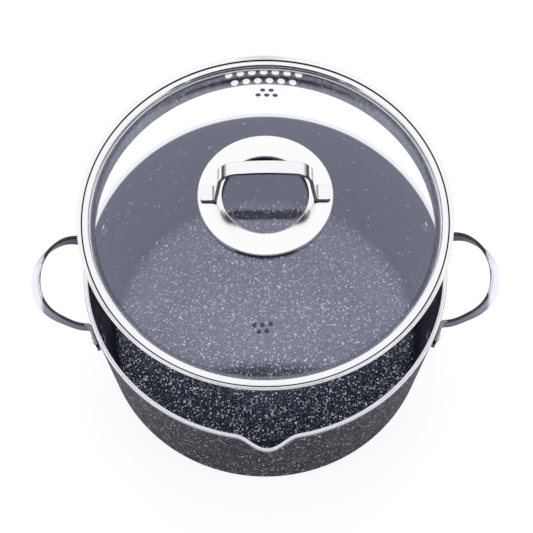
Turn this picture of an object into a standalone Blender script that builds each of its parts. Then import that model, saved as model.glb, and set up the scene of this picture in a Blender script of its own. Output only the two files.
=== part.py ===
"""Casserole pot, 28 cm, with a pouring spout and a lift-off straining lid.

Metres, +Z up. The origin is the centre of the pot's base, -Y is the spout side
and the side handles lie on +X and -X. The lid is built in its own frame, whose
zero height is the plane where its band rests on the pot's rim.
"""
import math

import bmesh
import bpy
from mathutils import Matrix, Vector

# Fits
GAP = 0.0003
HOLE_CLEARANCE = 0.0003
BAND_NIP = 0.0001

# Pot body
RIM_RADIUS = 0.140
POT_HEIGHT = 0.125
WALL = 0.0038
WALL_TAPER = math.radians(6.7)
FLOOR = 0.0055
OUTER_CORNER = 0.020
INNER_CORNER = 0.016
RIM_ROUNDING = 0.0012
POT_STEPS = 72

# Pouring spout, pressed into the rim at the front
SPOUT_HALF_WIDTH = 0.024
SPOUT_REACH = 0.0085
SPOUT_DIP = 0.003
SPOUT_DEPTH = 0.034
SPOUT_COLUMNS_PER_STEP = 3
SPOUT_RINGS = 4

# Steel disc let into the base, inside a ring of aluminium
DISC_MARGIN = 0.0070
DISC_THICKNESS = 0.0012
DISC_SIDE_GAP = 0.0004
DISC_CHAMFER = 0.0004
DISC_GROOVE_INSET = 0.042
DISC_GROOVE_WIDTH = 0.005
DISC_GROOVE_DEPTH = 0.0004
DISC_STEPS = 42

# Side handles: their feet's depth under the rim, then the shape of the loop
HANDLE_DROP = 0.0190
HANDLE_PROJECTION = 0.0407
HANDLE_HALF_SPAN = 0.0383
HANDLE_ROUNDNESS = 2.15
HANDLE_POINTS = 10
HANDLE_RISE = 0.0066
HANDLE_RISE_LENGTH = 0.022
STRAP_WIDTH = 0.0100
STRAP_THICKNESS = 0.0028
STRAP_LEAN = math.radians(39)
STRAP_TWIST_LENGTH = 0.064
FOOT_WIDTH = 0.0125
FOOT_TAPER_LENGTH = 0.014
FOOT_BEND = 0.0042
FOOT_BEND_POINTS = 4
FOOT_OVERHANG = 0.0096
FOOT_TIP_ANGLES = (25, 42, 60, 90)

# Rivets
RIVET_HALF_SPACING = 0.0494
RIVET_SHANK = 0.0024
RIVET_INNER_HEAD = 0.0054
RIVET_INNER_HEIGHT = 0.0022
RIVET_OUTER_HEAD = 0.0040
RIVET_OUTER_HEIGHT = 0.0012
SMALL_STEPS = 12

# Lid: how high it is held over its seat, as shown
LID_LIFT = 0.0914

# Lid glass, a little smaller than the inside of the rim
GLASS_CLEARANCE = 0.0040
GLASS_THICKNESS = 0.0036
LAND_WIDTH = 0.0056
LAND_HEIGHT = -0.0014
DOME_RISE = 0.0372
GLASS_STEPS = 54
GLASS_RINGS = 6

# Lid band, rolled round the edge of the glass
BAND_SHEET = 0.0008
BAND_COVER = 0.0030
BAND_SWELL = 0.0030
BAND_BULGE = 0.0012
FLANGE_WIDTH = 0.0032
FLANGE_SLOPE = math.radians(33)
BAND_CRIMP = 0.0023
BAND_STEPS = 64

# Straining skirt under the glass
SKIRT_SHEET = 0.0008
SKIRT_FLANGE_WIDTH = 0.0039
SKIRT_DRAFT = 0.0034
SKIRT_DROP = 0.0237
SKIRT_SIDE_GAP = 0.0003
BEAD = 0.0008
LARGE_HOLE_RADIUS = 0.0030
LARGE_HOLE_PITCH = 0.0091
LARGE_ROW_DROPS = (0.0101, 0.0191)
LARGE_ROW_COUNTS = (7, 6)
SMALL_HOLE_RADIUS = 0.0016
SMALL_HOLE_PITCH = 0.0056
SMALL_ROW_DROPS = (0.0101, 0.0151, 0.0199)
SMALL_ROW_COUNTS = (7, 8, 7)

# Rosette, gasket and lid handle
ROSETTE_RADIUS = 0.0503
ROSETTE_WIDTH = 0.0180
ROSETTE_INNER_THICKNESS = 0.0018
ROSETTE_ROUNDING = 0.0010
ROSETTE_STEPS = 42
GASKET_THICKNESS = 0.0009
GASKET_INSET = 0.0015
LID_HANDLE_INSET = 0.0020
LID_HANDLE_FOOT_LENGTH = 0.0112
LID_HANDLE_LEG_SLOPE = 0.0050
LID_HANDLE_SHOULDER_HEIGHT = 0.0388
LID_HANDLE_CROWN = 0.0032
LID_HANDLE_THICKNESS = 0.0030
LID_HANDLE_FOOT_WIDTH = 0.0132
LID_HANDLE_TOP_WIDTH = 0.0108
LID_HANDLE_FOOT_BEND = 0.0038
LID_HANDLE_SHOULDER_BEND = 0.0145
LID_HANDLE_CROWN_BEND = 0.140
LID_FOOT_CORNER = 0.0026
LID_FOOT_TIP_ANGLES = (30, 60, 90)

# Screws that hold the handle through the glass
SCREW_INSET = 0.0076
SCREW_SHANK = 0.0020
SCREW_HEAD = 0.0042
SCREW_HEAD_HEIGHT = 0.0024
SCREW_BITE = 0.0021
GROMMET_WALL = 0.0013
GROMMET_COLLAR = 0.0068
GROMMET_COLLAR_THICKNESS = 0.0010
WASHER_RADIUS = 0.0058
WASHER_THICKNESS = 0.0010

# Colours, roughness and metallic value of each finish
FINISHES = {
    "coating": ((0.070, 0.070, 0.085), 0.45, 0.0),
    "steel": ((0.80, 0.80, 0.82), 0.12, 1.0),
    "satin_steel": ((0.62, 0.62, 0.64), 0.35, 1.0),
    "glass": ((0.80, 0.82, 0.86), 0.05, 0.0),
    "silicone": ((0.03, 0.03, 0.035), 0.70, 0.0),
}


def clear_scene():
    """Remove every object that the scene starts with."""
    for obj in list(bpy.data.objects):
        bpy.data.objects.remove(obj, do_unlink=True)


def new_collection(name):
    """A collection linked to the scene."""
    collection = bpy.data.collections.new(name)
    bpy.context.scene.collection.children.link(collection)
    return collection


def link(name, mesh, collection, parent=None):
    """A new object for a mesh, in a collection and under a parent."""
    obj = bpy.data.objects.new(name, mesh)
    collection.objects.link(obj)
    obj.parent = parent
    return obj


def finish(obj, finish_name):
    """Give an object its own material."""
    color, roughness, metallic = FINISHES[finish_name]
    material = bpy.data.materials.new(obj.name + "_finish")
    material.use_nodes = True
    shader = material.node_tree.nodes["Principled BSDF"]
    shader.inputs["Base Color"].default_value = (*color, 1.0)
    shader.inputs["Roughness"].default_value = roughness
    shader.inputs["Metallic"].default_value = metallic
    obj.data.materials.clear()
    obj.data.materials.append(material)


def bake(obj):
    """Replace an object's modifiers by the mesh that they make, shaded smooth."""
    bpy.context.view_layer.update()
    graph = bpy.context.evaluated_depsgraph_get()
    mesh = bpy.data.meshes.new_from_object(obj.evaluated_get(graph))
    obj.modifiers.clear()
    obj.data = mesh
    shade(mesh)


def shade(mesh):
    """Round faces are smooth, and edges past 35 degrees stay sharp."""
    mesh.shade_smooth()
    mesh.set_sharp_from_angle(angle=math.radians(35))


def arc(center, radius, start, end, count):
    """Points of an arc in a plane, from one angle to another in radians."""
    angles = [start + (end - start) * i / count for i in range(count + 1)]
    return [(center[0] + radius * math.cos(a), center[1] + radius * math.sin(a)) for a in angles]


def turned(name, profile, steps, collection, parent=None):
    """A solid of revolution: a profile of (radius, height) with a Screw modifier."""
    mesh = bpy.data.meshes.new(name)
    closed = profile[0][0] > 0
    count = len(profile)
    edges = [(i, i + 1) for i in range(count - 1)]
    if closed:
        edges.append((count - 1, 0))
    mesh.from_pydata([(r, 0, z) for r, z in profile], edges, [])
    obj = link(name, mesh, collection, parent)
    screw = obj.modifiers.new("turn", "SCREW")
    screw.axis = "Z"
    screw.steps = steps
    screw.render_steps = steps
    screw.use_merge_vertices = True
    screw.merge_threshold = 0.00001
    bake(obj)
    return obj


def aligned(point, direction):
    """A matrix that puts local +Z along a direction at a point."""
    turn = direction.to_track_quat("Z", "Y").to_matrix().to_4x4()
    return Matrix.Translation(point) @ turn


def rod_cutter(name, radius, matrix, low, high, steps, parent=None):
    """A round cutter along its own Z, from one height to another."""
    bm = bmesh.new()
    middle = Matrix.Translation((0, 0, (low + high) / 2))
    bmesh.ops.create_cone(
        bm, cap_ends=True, segments=steps, radius1=radius, radius2=radius,
        depth=high - low, matrix=middle)
    mesh = bpy.data.meshes.new(name)
    bm.to_mesh(mesh)
    bm.free()
    return as_cutter(name, mesh, matrix, parent)


def as_cutter(name, mesh, matrix, parent=None):
    """An object that only cuts others."""
    obj = link(name, mesh, CUTTERS, parent)
    obj.matrix_local = matrix
    obj.hide_render = True
    obj.display_type = "WIRE"
    return obj


def cut(obj, cutter):
    """Cut one object out of another."""
    boolean = obj.modifiers.new("cut_" + cutter.name, "BOOLEAN")
    boolean.operation = "DIFFERENCE"
    boolean.solver = "EXACT"
    boolean.object = cutter


def strap_section(width, thickness):
    """Outline of a flat strap with broken corners, across and through it."""
    half = width / 2
    deep = thickness / 2
    corner = min(0.3 * thickness, 0.4 * half)
    return [
        (-half, corner - deep), (-half, deep - corner),
        (corner - half, deep), (half - corner, deep),
        (half, deep - corner), (half, corner - deep),
        (half - corner, -deep), (corner - half, -deep),
    ]


def strap(name, stations, collection, parent=None):
    """A bent strap, lofted through stations of (centre, across, through, width, thickness)."""
    bm = bmesh.new()
    last = None
    for center, across, through, width, thickness in stations:
        points = [center + across * a + through * b for a, b in strap_section(width, thickness)]
        verts = [bm.verts.new(point) for point in points]
        edges = [bm.edges.new((verts[i - 1], verts[i])) for i in range(len(verts))]
        if last is None:
            bm.faces.new(verts)
        else:
            bmesh.ops.bridge_loops(bm, edges=last + edges)
        last = edges
    bm.faces.new(verts)
    bmesh.ops.recalc_face_normals(bm, faces=bm.faces)
    mesh = bpy.data.meshes.new(name)
    bm.to_mesh(mesh)
    bm.free()
    shade(mesh)
    return link(name, mesh, collection, parent)


def rounded_tip(distance, half_width, corner):
    """Half width of a strap at a distance from its rounded end."""
    if distance >= corner:
        return half_width
    return half_width - corner + math.sqrt(corner ** 2 - (corner - distance) ** 2)


def smooth_step(value):
    """Ease from 0 to 1."""
    value = min(max(value, 0.0), 1.0)
    return value * value * (3 - 2 * value)


def path_lengths(points):
    """Distance along a path at each of its points."""
    lengths = [0.0]
    for a, b in zip(points, points[1:]):
        lengths.append(lengths[-1] + math.dist(a, b))
    return lengths


def path_directions(points):
    """Unit direction of a path at each of its points."""
    directions = []
    for i in range(len(points)):
        before = Vector(points[max(i - 1, 0)])
        after = Vector(points[min(i + 1, len(points) - 1)])
        directions.append((after - before).normalized())
    return directions


# Pot body


def inner_radius(z):
    """Inside radius of the pot's wall at a height."""
    return RIM_RADIUS - (POT_HEIGHT - z) * math.tan(WALL_TAPER)


def outer_radius(z):
    """Outside radius of the pot's wall at a height."""
    return inner_radius(z) + WALL / math.cos(WALL_TAPER)


def corner_center(wall_radius, floor_z, radius):
    """Centre of an arc that meets a floor and the tapered wall."""
    z = floor_z + radius
    return wall_radius(z) - radius / math.cos(WALL_TAPER), z


def recess_depth():
    """Depth of the seat for the steel disc in the base."""
    return DISC_THICKNESS + GAP


def recess_radius():
    """Radius of the seat for the steel disc, inside the flat of the base."""
    return corner_center(outer_radius, 0.0, OUTER_CORNER)[0] - DISC_MARGIN


def disc_radius():
    """Radius of the steel disc."""
    return recess_radius() - DISC_SIDE_GAP


def pot_profile():
    """Half section of the pot, from the middle of its floor over the rim to the base."""
    inner = corner_center(inner_radius, FLOOR, INNER_CORNER)
    outer = corner_center(outer_radius, 0.0, OUTER_CORNER)
    shift = RIM_ROUNDING / math.cos(WALL_TAPER)
    lip_z = POT_HEIGHT - RIM_ROUNDING
    inner_lip = (inner_radius(lip_z) + shift, lip_z)
    outer_lip = (outer_radius(lip_z) - shift, lip_z)
    seat = recess_radius()
    quarter = math.pi / 2
    points = [(0.0, FLOOR)]
    points += arc(inner, INNER_CORNER, -quarter, -WALL_TAPER, 5)
    points += arc(inner_lip, RIM_ROUNDING, math.pi - WALL_TAPER, quarter, 2)
    points += arc(outer_lip, RIM_ROUNDING, quarter, -WALL_TAPER, 2)
    points += arc(outer, OUTER_CORNER, -WALL_TAPER, -quarter, 6)
    points += [(seat, 0.0), (seat, recess_depth()), (0.0, recess_depth())]
    return points


def spout_angle(x, y):
    """Angle of a point from the middle of the spout."""
    return math.atan2(x, -y)


def refine_spout(bm):
    """Add columns and rings of faces to the part of the wall where the spout is pressed."""
    step = 2 * math.pi / POT_STEPS
    half_steps = math.ceil(SPOUT_HALF_WIDTH / RIM_RADIUS / step)
    limit = half_steps * step
    bottom = POT_HEIGHT - SPOUT_DEPTH
    fine = step / SPOUT_COLUMNS_PER_STEP

    def sector():
        chosen = []
        for face in bm.faces:
            middle = face.calc_center_median()
            high = max(vert.co.z for vert in face.verts)
            if abs(spout_angle(middle.x, middle.y)) < limit and high > bottom:
                chosen.append(face)
        edges = {edge for face in chosen for edge in face.edges}
        verts = {vert for face in chosen for vert in face.verts}
        return chosen + list(edges) + list(verts)

    for i in range(1, 2 * half_steps * SPOUT_COLUMNS_PER_STEP):
        if i % SPOUT_COLUMNS_PER_STEP == 0:
            continue
        angle = i * fine - limit
        across = Vector((math.cos(angle), math.sin(angle), 0))
        bmesh.ops.bisect_plane(bm, geom=sector(), plane_co=(0, 0, 0), plane_no=across)
    for i in range(1, SPOUT_RINGS + 1):
        height = POT_HEIGHT - SPOUT_DEPTH * (i / SPOUT_RINGS)
        bmesh.ops.bisect_plane(bm, geom=sector(), plane_co=(0, 0, height), plane_no=(0, 0, 1))


def press_spout(obj):
    """Push the wall outward and its rim a little down, over the width of the spout."""
    bm = bmesh.new()
    bm.from_mesh(obj.data)
    refine_spout(bm)
    for vert in bm.verts:
        side = spout_angle(vert.co.x, vert.co.y) * RIM_RADIUS / SPOUT_HALF_WIDTH
        depth = (POT_HEIGHT - vert.co.z) / SPOUT_DEPTH
        if abs(side) >= 1 or depth >= 1:
            continue
        push = math.cos(side * math.pi / 2) ** 2 * (1 - smooth_step(depth))
        outward = Vector((vert.co.x, vert.co.y, 0)).normalized()
        vert.co += outward * SPOUT_REACH * push
        vert.co.z -= SPOUT_DIP * push
    bmesh.ops.recalc_face_normals(bm, faces=bm.faces)
    bm.to_mesh(obj.data)
    bm.free()
    shade(obj.data)


def make_pot_body():
    """The pot with its spout and four rivet holes."""
    pot = turned("pot_body", pot_profile(), POT_STEPS, PARTS, POT)
    press_spout(pot)
    for cutter in RIVET_CUTTERS.values():
        cut(pot, cutter)
    finish(pot, "coating")


def make_induction_base():
    """The steel disc in the base, with a pressed ring groove."""
    edge = disc_radius()
    groove = edge - DISC_GROOVE_INSET
    half = DISC_GROOVE_WIDTH / 2
    profile = [
        (0.0, DISC_THICKNESS),
        (edge, DISC_THICKNESS),
        (edge, DISC_CHAMFER),
        (edge - DISC_CHAMFER, 0.0),
        (groove + half, 0.0),
        (groove + half - DISC_GROOVE_DEPTH, DISC_GROOVE_DEPTH),
        (groove - half + DISC_GROOVE_DEPTH, DISC_GROOVE_DEPTH),
        (groove - half, 0.0),
        (0.0, 0.0),
    ]
    disc = turned("induction_base", profile, DISC_STEPS, PARTS, POT)
    finish(disc, "satin_steel")


# Side handles and rivets


def handle_height():
    """Height of the side handles' feet and their rivets."""
    return POT_HEIGHT - HANDLE_DROP


def handle_reach():
    """Distance of a handle's outermost centre line from the pot's axis."""
    return outer_radius(handle_height()) + HANDLE_PROJECTION


def wall_normal(angle):
    """Outward normal of the tapered wall at an angle round the pot."""
    flat = math.cos(WALL_TAPER)
    return Vector((math.cos(angle) * flat, math.sin(angle) * flat, -math.sin(WALL_TAPER)))


def rivet_place(side, end):
    """Matrix of a rivet: its origin on the outside of the wall, +Z outward."""
    radius = outer_radius(handle_height())
    angle = math.asin(RIVET_HALF_SPACING / radius) * end
    if side < 0:
        angle = math.pi - angle
    point = Vector((radius * math.cos(angle), radius * math.sin(angle), handle_height()))
    return aligned(point, wall_normal(angle))


def half_handle_path(radius):
    """Plan of half of a handle's centre line, from its foot's tip to its outermost point."""
    root = math.asin((HANDLE_HALF_SPAN + FOOT_BEND) / (radius + FOOT_BEND))
    rivet = math.asin(RIVET_HALF_SPACING / radius)
    tip = rivet + FOOT_OVERHANG / radius
    round_off = FOOT_WIDTH / 2 / radius
    points = []
    for turn in FOOT_TIP_ANGLES:
        angle = tip - round_off * (1 - math.cos(math.radians(turn)))
        points.append((radius * math.cos(angle), radius * math.sin(angle)))
    start = tip - round_off
    for i in range(1, 4):
        angle = start + (root - start) * i / 3
        points.append((radius * math.cos(angle), radius * math.sin(angle)))
    center = ((radius + FOOT_BEND) * math.cos(root), (radius + FOOT_BEND) * math.sin(root))
    points += arc(center, FOOT_BEND, root - math.pi, -math.pi / 2, FOOT_BEND_POINTS)[1:]
    base = points[-1][0]
    power = 2 / HANDLE_ROUNDNESS
    for i in range(1, HANDLE_POINTS):
        turn = math.pi / 2 * (1 - i / HANDLE_POINTS)
        u = base + (handle_reach() - base) * math.cos(turn) ** power
        v = HANDLE_HALF_SPAN * math.sin(turn) ** power
        points.append((u, v))
    points.append((handle_reach(), 0.0))
    return points


def handle_stations(side):
    """Stations of a whole side handle on one side of the pot."""
    lift_off = GAP + STRAP_THICKNESS / 2
    radius = outer_radius(handle_height()) + lift_off * math.cos(WALL_TAPER)
    z = handle_height() - lift_off * math.sin(WALL_TAPER)
    half = half_handle_path(radius)
    base = half[-1 - HANDLE_POINTS][0]
    plan = half + [(u, -v) for u, v in reversed(half[:-1])]
    path = [(u, v, z + handle_rise(u - base)) for u, v in plan]
    lengths = path_lengths(path)
    whole = lengths[-1]
    foot = lengths[len(half) - 1 - HANDLE_POINTS]
    flip = Matrix.Diagonal((side, 1, 1))
    stations = []
    for point, length, heading in zip(path, lengths, path_directions(path)):
        from_tip = min(length, whole - length)
        blend = smooth_step((from_tip - foot) / STRAP_TWIST_LENGTH)
        lean = -WALL_TAPER + (STRAP_LEAN + WALL_TAPER) * blend
        outward = Vector((-heading.y, heading.x, 0)).normalized()
        upright = heading.cross(outward) * -1
        if upright.z < 0:
            upright.negate()
        across = upright * math.cos(lean) - outward * math.sin(lean)
        through = outward * math.cos(lean) + upright * math.sin(lean)
        narrowing = smooth_step((from_tip - foot) / FOOT_TAPER_LENGTH)
        width = FOOT_WIDTH + (STRAP_WIDTH - FOOT_WIDTH) * narrowing
        tip = rounded_tip(from_tip + round_start(), width / 2, FOOT_WIDTH / 2)
        stations.append(
            (flip @ Vector(point), flip @ across, flip @ through, 2 * tip, STRAP_THICKNESS))
    return stations


def handle_rise(distance):
    """Height of the loop over its feet, at a distance out from their bends."""
    return HANDLE_RISE * smooth_step(distance / HANDLE_RISE_LENGTH)


def round_start():
    """Distance from a foot's true tip to its first station."""
    return FOOT_WIDTH / 2 * (1 - math.cos(math.radians(FOOT_TIP_ANGLES[0])))


def make_side_handle(name, side):
    """One bent strap with two feet on the wall, drilled for its rivets."""
    handle = strap(name, handle_stations(side), PARTS, POT)
    for key, cutter in RIVET_CUTTERS.items():
        if key[0] == side:
            cut(handle, cutter)
    finish(handle, "steel")


def dome(radius, height, base, count):
    """Profile of a low domed head, from its top on the axis down to its edge."""
    sphere = (radius ** 2 + height ** 2) / (2 * height)
    reach = math.asin(radius / sphere)
    points = []
    for i in range(count + 1):
        turn = reach * i / count
        points.append((sphere * math.sin(turn), base + height - sphere * (1 - math.cos(turn))))
    points[-1] = (radius, base)
    return points


def make_rivet(name, side, end):
    """A rivet with a domed head on the foot and a larger one inside the pot."""
    outer_seat = GAP + STRAP_THICKNESS + GAP
    inner_seat = -WALL - GAP
    profile = dome(RIVET_OUTER_HEAD, RIVET_OUTER_HEIGHT, outer_seat, 2)
    profile += [(RIVET_SHANK, outer_seat), (RIVET_SHANK, inner_seat)]
    inner = dome(RIVET_INNER_HEAD, RIVET_INNER_HEIGHT, 0.0, 3)
    profile += [(r, inner_seat - z) for r, z in reversed(inner)]
    rivet = turned(name, profile, SMALL_STEPS, PARTS, POT)
    rivet.matrix_local = rivet_place(side, end)
    finish(rivet, "steel")


# Lid glass, band and skirt


def glass_radius():
    """Radius of the edge of the glass."""
    return RIM_RADIUS - GLASS_CLEARANCE


def dome_edge():
    """Radius where the dome of the glass meets its flat land."""
    return glass_radius() - LAND_WIDTH


def dome_radius():
    """Radius of the sphere that the top of the glass follows."""
    return (dome_edge() ** 2 + DOME_RISE ** 2) / (2 * DOME_RISE)


def glass_top(r):
    """Height of the top of the glass at a radius within the dome."""
    sphere = dome_radius()
    return LAND_HEIGHT + DOME_RISE - sphere + math.sqrt(sphere ** 2 - r ** 2)


def glass_under(r):
    """Height of the underside of the glass at a radius within the dome."""
    sphere = dome_radius()
    center = LAND_HEIGHT + DOME_RISE - sphere
    return center + math.sqrt((sphere - GLASS_THICKNESS) ** 2 - r ** 2)


def make_lid_glass():
    """The glass: a dome with a narrow flat land at its edge, and two screw holes."""
    edge = dome_edge()
    under = LAND_HEIGHT - GLASS_THICKNESS
    inset = GLASS_THICKNESS * edge / dome_radius() / 2
    top = [edge * i / GLASS_RINGS for i in range(GLASS_RINGS + 1)]
    below = [(edge - inset) * i / GLASS_RINGS for i in range(GLASS_RINGS)]
    profile = [(r, glass_top(r)) for r in top]
    profile += [
        (glass_radius(), LAND_HEIGHT),
        (glass_radius(), under),
        (edge, under),
    ]
    profile += [(r, glass_under(r)) for r in reversed(below)]
    glass = turned("lid_glass", profile, GLASS_STEPS, PARTS, LID)
    for side in (1, -1):
        name = "glass_hole_" + side_name(side)
        low = glass_under(screw_offset() + GROMMET_COLLAR) - GLASS_THICKNESS
        high = glass_top(0) + GLASS_THICKNESS
        place = Matrix.Translation((side * screw_offset(), 0, 0))
        cut(glass, rod_cutter(name, glass_hole_radius(), place, low, high, SMALL_STEPS, LID))
    finish(glass, "glass")


def flange_under(r):
    """Height of the underside of the sloped flange, which rests on the rounded rim."""
    center = inner_radius(POT_HEIGHT - RIM_ROUNDING) + RIM_ROUNDING / math.cos(WALL_TAPER)
    touch_radius = center - RIM_ROUNDING * math.sin(FLANGE_SLOPE)
    touch_height = RIM_ROUNDING * (math.cos(FLANGE_SLOPE) - 1)
    return touch_height + (r - touch_radius) * math.tan(FLANGE_SLOPE)


def make_lid_band():
    """The rolled band: a lip on the glass, a sloped flange outside, a crimp below."""
    sheet = BAND_SHEET
    half = BAND_SHEET / 2
    inner = glass_radius() + GAP + 2 * BAND_NIP
    lip = glass_radius() - BAND_COVER
    lip_under = LAND_HEIGHT + GAP + BAND_NIP
    outer = glass_radius() + BAND_SWELL
    crown = (lip + outer) / 2 + sheet
    crown_top = lip_under + sheet + BAND_BULGE
    crimp_top = skirt_flange_under() - GAP
    crimp_under = crimp_top - sheet
    crimp_wall = inner + sheet
    tip = outer + FLANGE_WIDTH
    edge = sheet / 3
    flange = sheet / math.cos(FLANGE_SLOPE)
    profile = [
        (lip, lip_under + sheet),
        (crown, crown_top),
        (outer - sheet, crown_top - half),
        (outer, flange_under(outer) + flange),
        (tip - edge, flange_under(tip - edge) + flange),
        (tip, flange_under(tip) + flange - edge),
        (tip, flange_under(tip) + edge),
        (tip - edge, flange_under(tip - edge)),
        (crimp_wall, flange_under(crimp_wall)),
        (crimp_wall, crimp_under + half),
        (crimp_wall - half, crimp_under),
        (inner - BAND_CRIMP, crimp_under),
        (inner - BAND_CRIMP, crimp_top),
        (inner, crimp_top),
        (inner, lip_under + half),
        (crown - half, crown_top - sheet),
        (lip, lip_under),
    ]
    band = turned("lid_band", profile, BAND_STEPS, PARTS, LID)
    finish(band, "steel")


def skirt_flange_top():
    """Height of the top of the skirt's flange, under the glass."""
    return LAND_HEIGHT - GLASS_THICKNESS - GAP


def skirt_flange_under():
    """Height of the underside of the skirt's flange."""
    return skirt_flange_top() - SKIRT_SHEET


def skirt_radius(drop):
    """Inside radius of the skirt at a depth below the seat plane."""
    share = (drop + skirt_flange_under()) / (SKIRT_DROP + skirt_flange_under())
    return glass_radius() - SKIRT_FLANGE_WIDTH - SKIRT_DRAFT * share


def hole_row(bm, radius, pitch, drop, count, facing, segments):
    """Add one row of round cutters through the skirt, centred on a direction."""
    wall = skirt_radius(drop)
    for i in range(count):
        angle = facing + (i - (count - 1) / 2) * pitch / wall
        outward = Vector((math.cos(angle), math.sin(angle), 0))
        point = outward * wall - Vector((0, 0, drop))
        bmesh.ops.create_cone(
            bm, cap_ends=True, segments=segments, radius1=radius, radius2=radius,
            depth=8 * SKIRT_SHEET, matrix=aligned(point, outward))


def make_strainer_skirt():
    """The skirt: a flange under the glass, a tapered wall with holes, a bead below."""
    top = skirt_flange_top()
    under = skirt_flange_under()
    sheet = SKIRT_SHEET
    half = SKIRT_SHEET / 2
    flange = glass_radius() + SKIRT_SIDE_GAP
    neck = skirt_radius(sheet - under)
    bottom = -SKIRT_DROP
    low = skirt_radius(SKIRT_DROP)
    profile = [
        (flange, top),
        (flange, under),
        (neck + sheet + half, under),
        (neck + sheet, under - sheet),
        (low + sheet, bottom + 2 * BEAD),
        (low + sheet + BEAD, bottom + BEAD),
        (low + sheet, bottom),
        (low, bottom + BEAD / 2),
        (neck, under - sheet),
        (neck + half, top),
    ]
    skirt = turned("strainer_skirt", profile, BAND_STEPS, PARTS, LID)
    bm = bmesh.new()
    for drop, count in zip(LARGE_ROW_DROPS, LARGE_ROW_COUNTS):
        hole_row(bm, LARGE_HOLE_RADIUS, LARGE_HOLE_PITCH, drop, count, math.pi / 2, 10)
    for drop, count in zip(SMALL_ROW_DROPS, SMALL_ROW_COUNTS):
        hole_row(bm, SMALL_HOLE_RADIUS, SMALL_HOLE_PITCH, drop, count, -math.pi / 2, 8)
    mesh = bpy.data.meshes.new("strainer_holes")
    bm.to_mesh(mesh)
    bm.free()
    cut(skirt, as_cutter("strainer_holes", mesh, Matrix.Identity(4), LID))
    finish(skirt, "steel")


# Rosette, gasket, lid handle and its screws


def side_name(side):
    """Right is +X and left is -X."""
    return "right" if side > 0 else "left"


def rosette_hole():
    """Radius of the rosette's open centre."""
    return ROSETTE_RADIUS - ROSETTE_WIDTH


def screw_offset():
    """Distance of a lid screw from the lid's axis."""
    return ROSETTE_RADIUS - SCREW_INSET


def rosette_under(r):
    """Underside of the rosette at a radius."""
    return glass_top(r) + GAP + GASKET_THICKNESS + GAP


def rosette_top():
    """Flat top of the rosette."""
    return rosette_under(rosette_hole()) + ROSETTE_INNER_THICKNESS


def screw_hole_radius():
    """Radius of the holes that a screw passes."""
    return SCREW_SHANK + HOLE_CLEARANCE


def glass_hole_radius():
    """Radius of the holes in the glass, round the grommet's sleeve."""
    return screw_hole_radius() + GROMMET_WALL + HOLE_CLEARANCE


def ring_band(inner, outer, height, count):
    """Points of a profile that follows a height formula between two radii."""
    radii = [inner + (outer - inner) * i / count for i in range(count + 1)]
    return [(r, height(r)) for r in radii]


def make_rosette_gasket():
    """The silicone ring between the glass and the rosette."""
    inner = rosette_hole() + GASKET_INSET
    outer = ROSETTE_RADIUS - GASKET_INSET
    upper = ring_band(inner, outer, lambda r: glass_top(r) + GAP + GASKET_THICKNESS, 2)
    lower = ring_band(inner, outer, lambda r: glass_top(r) + GAP, 2)
    gasket = turned("rosette_gasket", upper + lower[::-1], ROSETTE_STEPS, PARTS, LID)
    for cutter in SCREW_CUTTERS:
        cut(gasket, cutter)
    finish(gasket, "silicone")


def make_lid_rosette():
    """The flat-topped ring whose underside follows the dome."""
    top = rosette_top()
    hole = rosette_hole()
    edge = ROSETTE_ROUNDING
    small = ROSETTE_ROUNDING / 2
    profile = arc((ROSETTE_RADIUS - edge, top - edge), edge, math.pi / 2, 0.0, 2)
    profile += ring_band(hole, ROSETTE_RADIUS, rosette_under, 2)[::-1]
    profile += arc((hole + small, top - small), small, math.pi, math.pi / 2, 2)
    rosette = turned("lid_rosette", profile, ROSETTE_STEPS, PARTS, LID)
    for cutter in SCREW_CUTTERS:
        cut(rosette, cutter)
    finish(rosette, "steel")


def filleted(points, radii, counts):
    """A path with each inner corner replaced by an arc of its own radius."""
    path = [points[0]]
    corners = zip(points, points[1:], points[2:], radii, counts)
    for before, corner, after, radius, count in corners:
        corner = Vector(corner)
        back = (Vector(before) - corner).normalized()
        ahead = (Vector(after) - corner).normalized()
        half_angle = back.angle(ahead) / 2
        reach = radius / math.tan(half_angle)
        start = corner + back * reach
        center = corner + (back + ahead).normalized() * radius / math.sin(half_angle)
        first = start - center
        sweep = math.pi - 2 * half_angle
        turn = 1 if first.cross(corner + ahead * reach - center) > 0 else -1
        for i in range(count + 1):
            angle = turn * sweep * i / count
            point = center + Matrix.Rotation(angle, 2) @ first
            path.append((point.x, point.y))
    path.append(points[-1])
    return path


def lid_handle_path():
    """Centre line of the lid handle in its own plane, over the foot plane."""
    foot = ROSETTE_RADIUS - LID_HANDLE_INSET
    leg = foot - LID_HANDLE_FOOT_LENGTH
    shoulder = leg - LID_HANDLE_LEG_SLOPE
    half = [(foot, 0.0), (leg, 0.0), (shoulder, LID_HANDLE_SHOULDER_HEIGHT)]
    top = (0.0, LID_HANDLE_SHOULDER_HEIGHT + LID_HANDLE_CROWN)
    points = half + [top] + [(-x, z) for x, z in reversed(half)]
    bends = [LID_HANDLE_FOOT_BEND, LID_HANDLE_SHOULDER_BEND]
    radii = bends + [LID_HANDLE_CROWN_BEND] + bends[::-1]
    path = filleted(points, radii, [5, 6, 4, 6, 5])
    tips = [LID_FOOT_CORNER * (1 - math.cos(math.radians(a))) for a in LID_FOOT_TIP_ANGLES]
    start = [(foot - tip, 0.0) for tip in tips]
    return path[:1] + start + path[1:-1] + [(-x, z) for x, z in reversed(start)] + path[-1:]


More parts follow.
